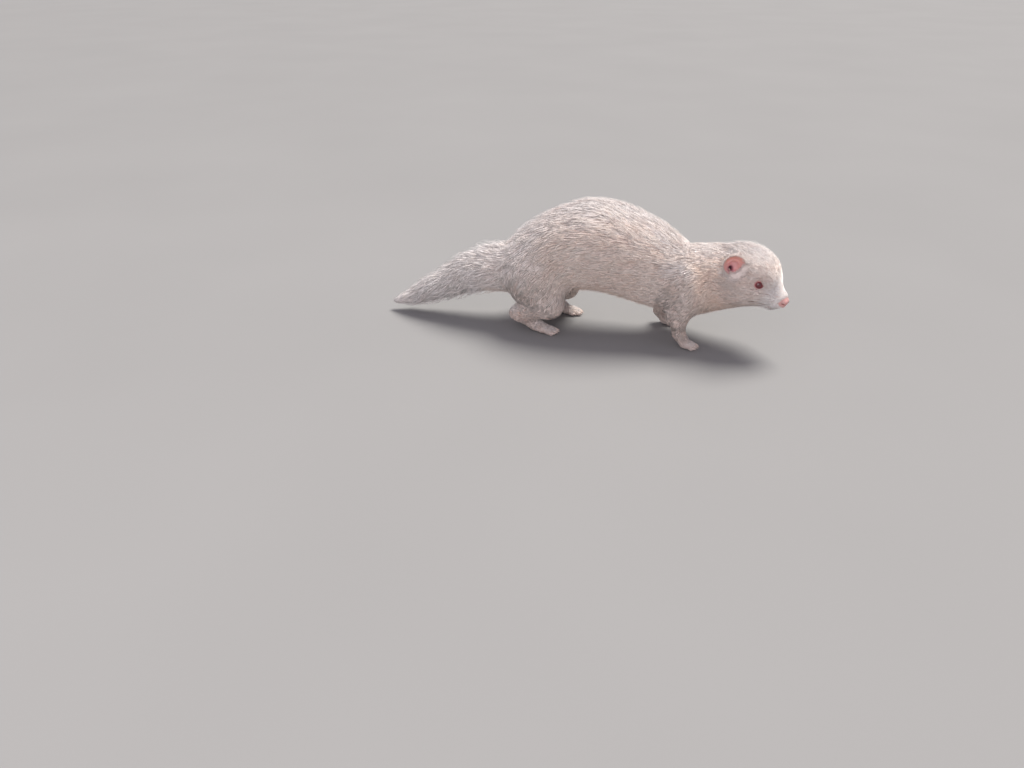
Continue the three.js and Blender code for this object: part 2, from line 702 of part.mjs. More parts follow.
for (const leg of legs) {
  headSolid = headSolid.subtract(legBlock(leg, gap, headFrame.clone().invert()));
}
addPiece(headGroup, 'head', headSolid, coat);

// Nose pad with two nostrils
let noseSolid = ball(nosePad.at, nosePad.size, 16, 12).subtract(wideHead);
for (const side of [-1, 1]) {
  const opening = [nostril.at[0], side * nostril.at[1], nostril.at[2]];
  noseSolid = noseSolid.subtract(ball(opening, nostril.size, 8, 6));
}
addPiece(headGroup, 'nose', noseSolid, pad);

// A number between 0 and 1 that follows from the seed and the count of calls
function dice(seed) {
  let state = seed;
  return () => {
    state = (state * 1664525 + 1013904223) % 4294967296;
    return state / 4294967296;
  };
}

// The spine's place, direction and half sizes at a distance behind the nose, past its end too
function spineAt(back) {
  const last = spine.at(-1).back;
  const within = Math.min(back, last - 1);
  const place = spine.findIndex((one) => one.back > within);
  const [a, b] = [spine[place - 1], spine[place]];
  const share = (within - a.back) / (b.back - a.back);
  const mix = (name) => THREE.MathUtils.lerp(a[name], b[name], share);
  const axis = spineLine.getTangent((place - 1 + share) / (spine.length - 1));
  const middle = new THREE.Vector3(-within, mix('left'), mix('height'));
  middle.addScaledVector(axis, back - within);
  const across = new THREE.Vector3(axis.y, -axis.x, 0).normalize();
  const up = new THREE.Vector3().crossVectors(across, axis);
  return { middle, axis, across, up: up.z < 0 ? up.negate() : up, tall: mix('tall'), wide: mix('wide') };
}

// A point beside the spine, at an angle around it and a share of the coat's height
function besideSpine(back, angle, share) {
  const { middle, across, up, tall, wide } = spineAt(back);
  const rim = share / Math.hypot(Math.cos(angle) / wide, Math.sin(angle) / tall);
  return middle.addScaledVector(across, rim * Math.cos(angle)).addScaledVector(up, rim * Math.sin(angle));
}

// One flat, tapered lock that leaves the core, bends and ends in a point
function lockShape(back, angle, length, width, thick, swing) {
  const rings = [
    { along: 0, height: 0.34, wide: 0.7, thick: 1 },
    { along: 0.38, height: 0.86, wide: 1, thick: 0.9 },
    { along: 0.74, height: 0.99, wide: 0.7, thick: 0.6 },
  ];
  const points = [];
  for (const ring of rings) {
    const place = back + length * ring.along;
    const turn = angle + swing * ring.along ** 2;
    const middle = besideSpine(place, turn, ring.height);
    const outward = middle.clone().sub(spineAt(place).middle).normalize();
    const sideways = new THREE.Vector3().crossVectors(spineAt(place).axis, outward).normalize();
    for (const [side, out] of [[-0.5, -0.3], [0, 0.7], [0.5, -0.3]]) {
      const corner = middle.clone().addScaledVector(sideways, side * width * ring.wide);
      points.push(...corner.addScaledVector(outward, out * thick * ring.thick));
    }
  }
  points.push(...besideSpine(back + length, angle + swing, 1));
  const faces = [0, 2, 1];
  for (let ring = 0; ring < rings.length; ring += 1) {
    for (let step = 0; step < 3; step += 1) {
      const [a, b] = [3 * ring + step, 3 * ring + ((step + 1) % 3)];
      if (ring + 1 < rings.length) {
        faces.push(a, b + 3, a + 3, a, b, b + 3);
      } else {
        faces.push(a, b, 3 * rings.length);
      }
    }
  }
  const geometry = new THREE.BufferGeometry();
  geometry.setAttribute('position', new THREE.Float32BufferAttribute(points, 3));
  geometry.setIndex(faces);
  return solidOf(geometry);
}

// Tail: a thin core and tiers of locks that overlap along it
const coreForm = (p) => {
  const { tall, wide } = spineAt(-p[0]);
  const thinned = THREE.MathUtils.smoothstep(-p[0], tailCore.start, tailCore.end);
  return body(p) + thinned * (1 - tailCore.share) * Math.min(tall, wide);
};
let tailSolid = solidOf(net(coreForm, [-424, -34, -8], [-262, 34, 90], cells.tail));
const roll = dice(tailLocks.seed);
for (let tier = 0; tier < tailLocks.tiers; tier += 1) {
  const share = tier / (tailLocks.tiers - 1);
  const length = THREE.MathUtils.lerp(tailLocks.length, tailLocks.shortest, share);
  for (let step = 0; step < tailLocks.around; step += 1) {
    const back = THREE.MathUtils.lerp(tailLocks.first, tailLocks.last, share) + 5 * (roll() - 0.5);
    const angle = (2 * Math.PI * (step + (tier % 2) / 2 + 0.3 * (roll() - 0.5))) / tailLocks.around;
    const { tall, wide } = spineAt(back + length * 0.4);
    const width = (tailLocks.cover * Math.PI * (tall + wide)) / tailLocks.around;
    const swing = 0.5 * (roll() - 0.5);
    const long = length * (0.9 + 0.2 * roll());
    tailSolid = tailSolid.add(lockShape(back, angle, long, width, tailLocks.thick, swing));
  }
}
addPiece(ferret, 'tail', tailSolid.subtract(aheadOfCut('tail')), coat);

// The whole model stands on the floor with the middle of its outline over the origin
const outline = new THREE.Box3().setFromObject(ferret, true);
const middle = outline.getCenter(new THREE.Vector3());
ferret.position.set(-middle.x, -middle.y, -outline.min.z);

export default ferret;
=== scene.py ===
import math

import bpy
import numpy as np
from mathutils import Matrix, Vector
from mathutils.kdtree import KDTree
from numpy.linalg import norm


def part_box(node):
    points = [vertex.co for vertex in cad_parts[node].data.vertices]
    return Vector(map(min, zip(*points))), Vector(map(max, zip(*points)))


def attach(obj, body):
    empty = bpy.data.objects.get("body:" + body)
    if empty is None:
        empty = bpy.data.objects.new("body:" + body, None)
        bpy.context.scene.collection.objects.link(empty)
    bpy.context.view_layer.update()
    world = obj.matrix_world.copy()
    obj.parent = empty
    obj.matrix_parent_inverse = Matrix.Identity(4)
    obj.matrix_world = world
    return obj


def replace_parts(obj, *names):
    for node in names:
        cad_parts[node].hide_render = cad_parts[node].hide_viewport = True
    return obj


# A walking albino ferret. Lengths are in millimetres in the body frame, whose origin is on the floor
# under the nose, and become metres in the frame of the solids as each piece is made.
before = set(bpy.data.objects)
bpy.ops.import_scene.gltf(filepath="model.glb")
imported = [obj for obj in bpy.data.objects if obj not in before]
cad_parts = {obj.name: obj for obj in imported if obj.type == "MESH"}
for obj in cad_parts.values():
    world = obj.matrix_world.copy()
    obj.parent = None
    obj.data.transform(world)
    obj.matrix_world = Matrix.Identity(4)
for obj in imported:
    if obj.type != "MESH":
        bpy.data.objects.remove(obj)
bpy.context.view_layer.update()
NOSE_FRONT, MIDDLE = 0.091, 0.048
SHIFT = np.array([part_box("nose")[1].x * 1000 - NOSE_FRONT, -MIDDLE, 0.0])
scene = bpy.context.scene
SEED = 21
rng = np.random.default_rng(SEED)
SIDES = ((-1, "right"), (1, "left"))

# Middle of the spine: distance behind the nose, to the left, height, half height and half width
SPINE = np.array([
    [50, -4, 68, 24.7, 23],
    [70, 2, 65.2, 33.2, 27.5],
    [90, 2, 61.5, 35.2, 29],
    [105, 1.5, 59, 31.5, 29.5],
    [120, 1, 66.5, 37, 31.5],
    [150, 1, 80, 43.5, 34],
    [185, 1, 88.5, 46, 36],
    [215, 1, 82.5, 42, 36.5],
    [240, 1, 72, 36.5, 34],
    [268, 1, 57, 25, 26],
    [290, 0, 56, 25, 21],
    [315, -1, 49, 21.5, 18],
    [340, -3, 36.7, 16.2, 14.5],
    [365, -5, 25.2, 12.2, 11.5],
    [386, -7, 15.5, 7.5, 8],
    [403, -8, 10, 2, 2],
])
SPINE_STEPS = 56
TRUNK_REACH, FAR = 62, 90.0

# The head's own frame, and its forms in it
HEAD_BACK = -85
NOSE = np.array([0, -25, 55.5])
HEAD_YAW, HEAD_PITCH, HEAD_ROLL = -25, 18, -7
SKULL = ([-48.5, 0, 12], [28.5, 24, 21.5])
BRIDGE = ([-38, 0, 11], [-13, 0, 1.8], 15.8, 6.8)
MUZZLE = ([-34, 0, -0.5], [-12, 0, -1.2], 15.6, 6.9)
CHEEK = ([-42, 9.5, -2], [-16, 3.2, -2.6], 14, 7.2)
JAW = ([-46, 0, -8.3], [-14.5, 0, -9.4], 13.5, 5)
JOWL = ([-49, 13, -1], [22, 14, 19])
LIP_PAD = ([-14, 4.4, -3.8], [7.6, 4.6, 4.4])
BROW = ([-30, 9.9, 13], [8.3, 5.2, 4.4])
EYE_AT, EYE_RADIUS, EYE_OUT, EYE_UP, EYE_PROUD = np.array([-32, 14.3, 6.6]), 4.4, 64, 12, 0.7
EAR_AT, EAR_SIZE, EAR_OUT, EAR_LEAN = np.array([-57, 26.8, 5.3]), [6, 19.5, 18.5], 58, 2
EAR_EDGE, CANAL_FORWARD, CANAL_UP, CANAL_DEPTH = 1.7, -0.03, 0.2, 2.5
MOUTH = [[-32, -15, -6.8], [-20, -9.5, -8], [-8, 0, -7.6], [-20, 9.5, -8], [-32, 15, -6.8]]

# Legs: joints, their radii, the root muscle and the paw
FORE = {
    "joints": [[93, 20, 52], [104, 26, 35], [105, 26, 15]],
    "radii": [17, 10.6, 6.4],
    "muscle": ([-100, 20, 56], [21, 13, 27]), "paw": [20, 17, 2.9, 4.6],
}
HIND = {
    "joints": [[250, 20, 50], [229, 27, 33], [262, 26, 19], [243, 26, 9]],
    "radii": [22, 15.5, 7.6, 6.6],
    "muscle": ([-242, 20, 54], [29, 17, 29]), "paw": [25, 18, 3, 4.2],
}
PAW_TOP, FAR_FROM_PAW = 22, 60.0
TOES = (-1, -0.52, 0, 0.52, 1)
LEGS = [(FORE, -1, 10), (FORE, 1, -22), (HIND, -1, 0), (HIND, 1, 20)]
LIMBS = ["foreleg", "hindleg", "forepaw", "hindpaw"]
FLESH = ["head", "neck", "chest", "belly", "rump", "tail"]
FLESH += [f"{limb}_{half}" for limb in LIMBS for _, half in SIDES]

# Coat by region: its depth, the length and width of a tuft, tufts to a square millimetre, how much
# they stray, and how warm their colour is
COAT = {
    "muzzle": [0.8, 2.6, 0.33, 6.0, 0.1, 0.05],
    "face": [1.5, 5.2, 0.42, 4.0, 0.12, 0.42],
    "crown": [2.9, 9, 0.54, 2.8, 0.16, 0.45],
    "neck": [4, 14, 0.8, 1.5, 0.15, 0.95],
    "body": [5, 19, 0.93, 1.0, 0.14, 0.62],
    "belly": [4.4, 15, 0.95, 0.72, 0.18, 0.75],
    "rump": [5.5, 21, 0.94, 1.0, 0.15, 0.2],
    "tail": [8, 27, 0.92, 1.5, 0.14, 0.15],
    "thigh": [3.6, 11, 0.8, 1.05, 0.15, 0.5],
    "shin": [1.7, 5, 0.58, 1.5, 0.14, 0.6],
    "paw": [0.7, 2.4, 0.43, 2.3, 0.13, 0.5],
}
COAT_TABLE = np.array(list(COAT.values()))
# Columns of the table, and of the shares that regions_of gives
DEPTH, DENSITY = 0, 3
HEAD, FACE_AND_CROWN, TRUNK, TAIL, THIGH, LEG = slice(0, 3), slice(1, 3), slice(3, 7), 7, 8, slice(8, 11)
# How strongly each region's coat swells into locks
SWELL = np.array([0, 0, 0.05, 0.12, 0.16, 0.16, 0.2, 0.2, 0.12, 0, 0])
TAIL_CORE = 0.5
FACES_A_PIECE = 195000
TUFTS_A_CLUMP, TUFTS_A_LOCK = 14, 44
# Along a tuft: share of its length, share of the coat's depth, and share of its width
STOPS = np.array([(0.0, -0.06, 0.7), (0.3, 0.68, 1.0), (0.68, 0.93, 0.82), (1.0, 1.0, 0.0)])
LONG_TUFT, SHORT_TUFT = [0, 1, 2, 3], [0, 1, 3]
# How steeply the coat runs down the flanks
SIDE_FALL = 0.34
COARSE = 1.0

# Camera from the fit to the photo's outline, in the body frame
CAMERA_AT = (-92, -730, 352)
CAMERA_DOWN, CAMERA_TURN, CAMERA_LENS = 30, 14, 27.07


# Geometry of the forms

def blend(a, b, length):
    share = np.clip(0.5 + 0.5 * (b - a) / length, 0, 1)
    return b + (a - b) * share - length * share * (1 - share)


def egg(p, at, size):
    q = p - at
    near = norm(q / size, axis=1)
    slope = np.maximum(norm(q / np.square(size), axis=1), 1e-9)
    return near * (near - 1) / slope


def along(p, start, end):
    axis = np.array(end, float) - start
    return np.clip((p - start) @ axis / (axis @ axis), 0, 1), axis


def taper(p, start, end, start_radius, end_radius):
    share, axis = along(p, start, end)
    across = p - start - share[:, None] * axis
    return norm(across, axis=1) - (start_radius + (end_radius - start_radius) * share)


def smooth_step(x, low, high):
    t = np.clip((x - low) / (high - low), 0, 1)
    return t * t * (3 - 2 * t)


def folded(q, ahead=0.0):
    """Points moved ahead, with the right side folded onto the left."""
    return np.column_stack([q[:, 0] + ahead, np.abs(q[:, 1]), q[:, 2]])


def spline(points, count):
    """Places along a centripetal spline through the points."""
    points = np.asarray(points, float)
    padded = np.vstack([2 * points[0] - points[1], points, 2 * points[-1] - points[-2]])
    made = []
    for n in range(count + 1):
        at = n / count * (len(points) - 1)
        k = min(int(at), len(points) - 2)
        t = at - k
        a, b, c, d = padded[k:k + 4]
        ab, bc, cd = [norm(v) ** 0.5 for v in (b - a, c - b, d - c)]
        start = ((b - a) / ab - (c - a) / (ab + bc) + (c - b) / bc) * bc
        end = ((c - b) / bc - (d - b) / (bc + cd) + (d - c) / cd) * bc
        made.append(b + start * t + (3 * (c - b) - 2 * start - end) * t ** 2
                    + (2 * (b - c) + start + end) * t ** 3)
    return np.array(made)


spine_line = spline(SPINE[:, :3] * [-1, 1, 1], SPINE_STEPS)
spine_girth = spline(np.column_stack([SPINE[:, 3:], np.zeros(len(SPINE))]), SPINE_STEPS)


def turn(yaw, pitch, roll=0):
    """A turn about Z, then Y, then X, in degrees, as an array."""
    whole = Matrix.Identity(3)
    for angle, axis in ((yaw, "Z"), (pitch, "Y"), (roll, "X")):
        whole = whole @ Matrix.Rotation(math.radians(angle), 3, axis)
    return np.array(whole)


HEAD_TURN = turn(HEAD_YAW, HEAD_PITCH, HEAD_ROLL)


def to_head(p):
    return (p - NOSE) @ HEAD_TURN


def from_head(p):
    return np.asarray(p, float) @ HEAD_TURN.T + NOSE


def trunk(p):
    nearest = np.full(len(p), FAR)
    for n in range(SPINE_STEPS):
        start = spine_line[n]
        close = np.nonzero(np.abs(p[:, 0] - start[0]) < TRUNK_REACH)[0]
        if not len(close):
            continue
        q = p[close]
        share, axis = along(q, start, spine_line[n + 1])
        first, last = spine_girth[n], spine_girth[n + 1]
        tall, wide = [first[i] + (last[i] - first[i]) * share for i in (0, 1)]
        offset = q - start - share[:, None] * axis
        radius = norm(offset, axis=1)
        across = (offset[:, 1] * axis[0] - offset[:, 0] * axis[1]) / math.hypot(axis[0], axis[1])
        rise = np.sqrt(np.maximum(0, radius ** 2 - across ** 2))
        stretch = np.hypot(rise / tall, across / wide)
        value = np.where(stretch < 1e-6, -wide, radius - radius / np.maximum(stretch, 1e-6))
        nearest[close] = np.minimum(nearest[close], value)
    return nearest


def head_form(p):
    q = folded(p)
    d = egg(q, *SKULL)
    for sizes, length in ((BRIDGE, 9), (MUZZLE, 9), (CHEEK, 6), (JAW, 4)):
        d = blend(d, taper(q, *sizes), length)
    for sizes, length in ((JOWL, 8), (LIP_PAD, 5), (BROW, 7)):
        d = blend(d, egg(q, *sizes), length)
    return d


def leg_points(leg):
    plan, side, step = leg
    top = plan["joints"][0][2]
    return np.array([[-b + step * (1 - h / top), side * s, h] for b, s, h in plan["joints"]])


def leg_form(p, leg):
    plan, side, _ = leg
    (x, y, z), size = plan["muscle"]
    points, radii = leg_points(leg), plan["radii"]
    d = egg(p, (x, side * y, z), size)
    for n in range(len(points) - 1):
        d = blend(d, taper(p, points[n], points[n + 1], radii[n], radii[n + 1]), 5 if n else 10)
    return d


def toes_of(leg):
    """Each toe's root, knuckle, tip, radius and turn."""
    plan, side, _ = leg
    length, width, toe, _ = plan["paw"]
    ankle = leg_points(leg)[-1]
    toes = []
    for spread in TOES:
        inner = spread * side < -0.9
        long = length * (0.72 if inner else 1 - 0.14 * spread ** 2)
        y = ankle[1] + spread * (width / 2 - toe)
        root = np.array([ankle[0] + long * 0.3, ankle[1] + (y - ankle[1]) * 0.62, toe * 1.55])
        knuckle = np.array([ankle[0] + long * 0.66, y - spread * 0.6, toe * 1.35])
        tip = np.array([ankle[0] + long - toe, y + spread * 0.8, toe * 0.72])
        toes.append((root, knuckle, tip, toe * (0.85 if inner else 1), spread * 9))
    return toes


def paw_form(p, leg):
    plan = leg[0]
    toe = plan["paw"][2]
    ankle, toes = leg_points(leg)[-1], toes_of(leg)
    palm = np.array([toes[2][0][0] + 1.5, ankle[1], toe * 1.5])
    d = taper(p, ankle, palm, plan["radii"][-1], toe * 1.9)
    for root, knuckle, tip, radius, _ in toes:
        back = taper(p, root, knuckle, radius, radius * 1.06)
        front = taper(p, knuckle, tip, radius * 1.06, radius * 0.82)
        d = blend(d, np.minimum(back, front), 1.6)
    return d


def body_parts(p):
    """Distances to the trunk, the head and each leg with its paw."""
    legs, paws = [], []
    for leg in LEGS:
        legs.append(leg_form(p, leg))
        low = p[:, 2] < PAW_TOP
        paw = np.full(len(p), FAR_FROM_PAW)
        paw[low] = paw_form(p[low], leg)
        paws.append(paw)
    return trunk(p), head_form(to_head(p)), legs, paws


def whole_of(parts):
    d, head, legs, paws = parts
    for leg in legs:
        d = blend(d, leg, 9)
    d = blend(d, head, 14)
    for paw in paws:
        d = blend(d, paw, 3)
    return d


def spine_at(x, column):
    return np.interp(-x, SPINE[:, 0], SPINE[:, column])


def regions_of(p, parts):
    """The share of each region of the coat at each point."""
    back, head, legs, paws = parts
    limbs = np.minimum(np.min(legs, axis=0), np.min(paws, axis=0))
    close = np.stack([head, back, limbs + 2])
    share = np.exp(-(close - close.min(0)) / 5)
    share /= share.sum(0)
    (x, _, z), ahead = p.T, to_head(p)[:, 0]
    muzzle, crown = smooth_step(ahead, -27, -15), 1 - smooth_step(ahead, -60, -42)
    neck, rump, tail = 1 - smooth_step(-x, 78, 112), smooth_step(-x, 215, 262), smooth_step(-x, 284, 308)
    under = smooth_step((spine_at(x, 2) - z) / spine_at(x, 3), 0.55, 0.9) * (1 - tail) * (1 - neck)
    paw, thigh = 1 - smooth_step(z, 8, 16), smooth_step(z, 22, 36)
    trunk_share = share[1] * (1 - under)
    return np.stack([
        share[0] * muzzle, share[0] * (1 - muzzle) * (1 - crown), share[0] * (1 - muzzle) * crown,
        trunk_share * neck, trunk_share * (1 - neck) * (1 - rump), share[1] * under,
        trunk_share * rump * (1 - tail), trunk_share * tail,
        share[2] * thigh, share[2] * (1 - thigh) * (1 - paw), share[2] * (1 - thigh) * paw,
    ], axis=1)


# Parts of the head that the coat stays clear of, as gaps in the head's own frame

def eye_frame(side):
    look = turn(side * EYE_OUT, -EYE_UP)
    return EYE_AT * [1, side, 1] + EYE_PROUD * look[:, 0], look


def ear_frame(side):
    return EAR_AT * [1, side, 1], turn(side * EAR_OUT, -EAR_LEAN)


def seen_from(q, frame_of):
    """Each side, with the points in the frame of its eye or ear, looking along +X."""
    for side, _ in SIDES:
        at, look = frame_of(side)
        yield side, (q - at) @ look


def almond(local, side):
    """How far outside the lids' opening a point lies, seen along the look."""
    forward = -side * local[:, 1]
    long = np.where(forward > 0, 3.8, 3.3)
    tall = np.where(local[:, 2] > 0, 3.1, 2.9) * (1 - 0.2 * smooth_step(forward, 1.5, 4))
    return (np.hypot(forward / long, local[:, 2] / tall) - 1) * 3.3


def eye_gap(q):
    gap = np.full(len(q), 30.0)
    for side, local in seen_from(q, eye_frame):
        gap = np.where(local[:, 0] > 0, np.minimum(gap, almond(local, side)), gap)
    return gap


def ear_share(local):
    """Share of the way from the middle of the cup to its rim."""
    _, wide, tall = EAR_SIZE
    return np.hypot(local[:, 1] / (wide / 2), (local[:, 2] - tall / 2) / (tall / 2))


def ear_gap(q):
    """How far outside an ear's rim a point lies, seen along its look."""
    gap = np.full(len(q), 30.0)
    for _, local in seen_from(q, ear_frame):
        gap = np.where(local[:, 0] > -8, np.minimum(gap, (ear_share(local) - 1) * 9), gap)
    return gap


def canal_share(local, side):
    """How near a point lies to the ear's canal, from 0 to 1."""
    forward, up = -side * local[:, 1] / EAR_SIZE[1], local[:, 2] / EAR_SIZE[2]
    return np.exp(-((forward - CANAL_FORWARD) ** 2 + (up - CANAL_UP) ** 2) / 0.014)


def ear_back(out, canal):
    """Where the back of an ear lies along its look."""
    return -EAR_SIZE[0] * (1 - out ** 2) - EAR_EDGE * (1 - 0.4 * out ** 4) - CANAL_DEPTH * canal


def ear_cover(q):
    """How far before the back of an ear a point lies, or -30 where no ear stands over it."""
    cover = np.full(len(q), -30.0)
    for side, local in seen_from(q, ear_frame):
        out = ear_share(local)
        above = local[:, 0] - ear_back(out, canal_share(local, side))
        cover = np.where(out < 1, np.maximum(cover, above), cover)
    return cover


def ear_funnel(q):
    """Height over a funnel from the head's side down to an ear's cup."""
    height = np.full(len(q), -30.0)
    for _, local in seen_from(q, ear_frame):
        out = ear_share(local)
        cup = -EAR_SIZE[0] * np.maximum(1 - out ** 2, 0) - 1.2
        wall = 2.6 * 9.5 * np.maximum(out - 1, 0)
        height = np.maximum(height, (local[:, 0] - cup - wall) / (1 + 1.6 * (out > 1)))
    return height


def nose_wing(q):
    """The bare skin of the nose where it runs back beside the nostrils."""
    s = folded(q)
    wing = taper(s, (-4.5, 3.5, 0.2), (-11.8, 8.4, -2.6), 4.6, 1.3)
    return blend(wing, egg(s, [-7.2, 0, 0.4], [6.4, 6, 5]), 1)


# A grid over the whole body, finer at the head and paws, with its fields

def ticks(first, *stretches):
    """Grid lines from a first one through stretches, each an end and a spacing."""
    lines = [np.array([first], float)]
    for end, spacing in stretches:
        start = lines[-1][-1]
        count = max(1, int(round((end - start) / spacing / COARSE)))
        lines.append(np.linspace(start, end, count + 1)[1:])
    return np.concatenate(lines)


def crossings_of(*lines):
    """Every crossing of three sets of grid lines."""
    return np.stack(np.meshgrid(*lines, indexing="ij"), -1).reshape(-1, 3)


def swell(p):
    """Soft locks in the outside of the long coat, about 0."""
    x, y, z = p.T
    bend = 1.3 * np.sin(0.061 * x + 0.09 * y) + 0.9 * np.sin(0.11 * z - 0.043 * x)
    waves = np.sin(0.42 * z + 0.21 * y + 0.1 * x + bend)
    waves = waves + np.sin(0.37 * y - 0.29 * z - 0.12 * x + 1.7 * bend)
    return waves + 0.8 * np.sin(0.23 * x + 0.5 * y + 0.31 * z - bend)


axes = [
    ticks(-408, (-380, 1.2), (-275, 2.2), (-222, 1.6), (-118, 2.2), (-66, 1.2), (4, 0.8)),
    ticks(-47, (-38, 1.5), (10, 1.0), (46, 1.5)),
    ticks(-3, (14, 0.85), (36, 1.6), (86, 0.9), (137, 1.8)),
]
shape = tuple(len(axis) for axis in axes)
outer_field = np.empty(shape)
depth_field = np.empty(shape)
plane = crossings_of([0.0], axes[1], axes[2])
for n, x in enumerate(axes[0]):
    plane[:, 0] = x
    parts = body_parts(plane)
    shares = regions_of(plane, parts)
    core = TAIL_CORE * np.minimum(spine_at(plane[:, 0], 3), spine_at(plane[:, 0], 4))
    depths = shares @ COAT_TABLE[:, DEPTH] + shares[:, TAIL] * (core - COAT["tail"][DEPTH])
    whole = whole_of(parts) + swell(plane) * (shares @ SWELL)
    if x > HEAD_BACK:
        near = to_head(plane)
        depths = depths * (0.25 + 0.75 * smooth_step(nose_wing(near), 0.3, 5))
        whole = whole + 1.1 * (1 - smooth_step(eye_gap(near), 0.5, 6.5))
        whole = -blend(-whole, -ear_funnel(near), 1.5)
    outer_field[n] = whole.reshape(shape[1:])
    depth_field[n] = depths.reshape(shape[1:])


def sampled(field, p):
    """The grid's field at points between its lines."""
    total = np.zeros(len(p))
    place, share = [], []
    for n, axis in enumerate(axes):
        at = np.clip(np.searchsorted(axis, p[:, n]) - 1, 0, len(axis) - 2)
        place.append(at)
        share.append((p[:, n] - axis[at]) / (axis[at + 1] - axis[at]))
    for bits in [(a, b, c) for c in (0, 1) for b in (0, 1) for a in (0, 1)]:
        weight = np.ones(len(p))
        for n, bit in enumerate(bits):
            weight = weight * (share[n] if bit else 1 - share[n])
        total += weight * field[tuple(place[n] + bits[n] for n in range(3))]
    return total


def slope_of(form, p, step=0.7):
    slope = np.empty_like(p)
    for n in range(3):
        nudge = np.zeros(3)
        nudge[n] = step
        slope[:, n] = (form(p + nudge) - form(p - nudge)) / (2 * step)
    return slope


def unit(v):
    return v / np.maximum(norm(v, axis=1, keepdims=True), 1e-9)


def settle(form, p, rounds=2):
    """Moves points onto a form's surface."""
    for _ in range(rounds):
        slope = slope_of(form, p)
        size = np.maximum((slope ** 2).sum(1), 0.25)
        p = p - (form(p) / size)[:, None] * slope
    return p


def outer(p):
    return sampled(outer_field, p)


def inner(p):
    return sampled(outer_field, p) + sampled(depth_field, p)


# Nets over a field on a grid of lines

CORNERS = [(a, b, c) for a in (0, 1) for b in (0, 1) for c in (0, 1)]
STEPS = np.eye(3, dtype=int)


def net(values, lines):
    """A closed net of four-sided faces where the field on the grid is zero."""
    values = values.copy()
    for n in range(3):
        rim = [slice(None)] * 3
        for end in (0, -1):
            rim[n] = end
            values[tuple(rim)] = np.maximum(values[tuple(rim)], 0.5)
    inside = values < 0
    count = [len(line) - 1 for line in lines]
    full = np.zeros(count, int)
    for corner in CORNERS:
        full += inside[tuple(slice(b, b + c) for b, c in zip(corner, count))]
    cells = np.argwhere((full > 0) & (full < len(CORNERS)))
    names = np.full(count, -1)
    names[tuple(cells.T)] = np.arange(len(cells))
    total, crossings = np.zeros((len(cells), 3)), np.zeros(len(cells))
    for axis in range(3):
        for corner in [corner for corner in CORNERS if not corner[axis]]:
            low, high = cells + corner, cells + corner + STEPS[axis]
            start, end = values[tuple(low.T)], values[tuple(high.T)]
            cross = (start < 0) != (end < 0)
            share = np.where(cross, start / np.where(cross, start - end, 1), 0)
            for n in range(3):
                a, z = lines[n][low[:, n]], lines[n][high[:, n]]
                total[:, n] += np.where(cross, a + (z - a) * share, 0)
            crossings += cross
    points = total / crossings[:, None]
    faces = []
    for axis in range(3):
        u, v = (axis + 1) % 3, (axis + 2) % 3
        at = np.argwhere(np.diff(inside, axis=axis))
        at = at[(at[:, u] > 0) & (at[:, v] > 0) & (at[:, u] < count[u]) & (at[:, v] < count[v])]
        around = [at - STEPS[u] - STEPS[v], at - STEPS[v], at, at - STEPS[u]]
        ring = np.stack([names[tuple(cell.T)] for cell in around], 1)
        solid = inside[tuple(at.T)]
        faces.append(np.where(solid[:, None], ring, ring[:, ::-1]))
    return largest(points, np.concatenate(faces))


def largest(points, faces):
    """The faces of a net that hang together with most of it."""
    owner, fresh = None, np.arange(len(points))
    while not np.array_equal(owner, fresh):
        owner, fresh = fresh, fresh.copy()
        low = owner[faces].min(1)
        np.minimum.at(fresh, faces.ravel(), np.repeat(low, faces.shape[1]))
        fresh = fresh[fresh]
    kept = owner == np.bincount(owner).argmax()
    names = np.full(len(points), -1)
    names[kept] = np.arange(kept.sum())
    return points[kept], names[faces[kept[faces[:, 0]]]]


def local_net(field, low, high, cell):
    """A net over a field inside a small box of even cells."""
    lines = [np.arange(a, b, cell) for a, b in zip(low, high)]
    return net(field(crossings_of(*lines)).reshape([len(line) for line in lines]), lines)


# Making pieces

def linked(data, at=(0, 0, 0), aim=None):
    """An object in the scene for some data, at a place in metres."""
    thing = bpy.data.objects.new(data.name, data)
    thing.location = at
    if aim:
        thing.rotation_mode = "QUATERNION"
        thing.rotation_quaternion = aim.to_track_quat("-Z", "Y")
    scene.collection.objects.link(thing)
    return thing


def dress(mesh, material, attributes=()):
    """A piece from a mesh, with the values its shader reads at each point."""
    mesh.polygons.foreach_set("use_smooth", np.ones(len(mesh.polygons), bool))
    for key, values in dict(attributes).items():
        layer = mesh.attributes.new(key, "FLOAT", "POINT")
        layer.data.foreach_set("value", np.asarray(values, np.float32).ravel())
    mesh.materials.append(material)
    piece = linked(mesh)
    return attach(piece, "root")


def placed(points):
    return (np.asarray(points, float) + SHIFT) * 0.001


def dense_mesh(name, points, faces, uvs=None):
    """A large mesh whose faces all have as many sides, and its bake map if given."""
    mesh = bpy.data.meshes.new(name)
    sides = faces.shape[1]
    mesh.vertices.add(len(points))
    mesh.vertices.foreach_set("co", placed(points).astype(np.float32).ravel())
    mesh.loops.add(faces.size)
    mesh.loops.foreach_set("vertex_index", faces.astype(np.int32).ravel())
    mesh.polygons.add(len(faces))
    mesh.polygons.foreach_set("loop_start", np.arange(0, faces.size, sides, dtype=np.int32))
    mesh.update(calc_edges=True)
    if uvs is not None:
        layer = mesh.uv_layers.new(name="OFBake")
        layer.data.foreach_set("uv", uvs[faces.ravel()].astype(np.float32).ravel())
    return mesh


def loose_mesh(name, points, faces):
    """A small mesh whose faces have any number of sides."""
    mesh = bpy.data.meshes.new(name)
    mesh.from_pydata(placed(points).tolist(), [], [[int(n) for n in face] for face in faces])
    return mesh


# Materials

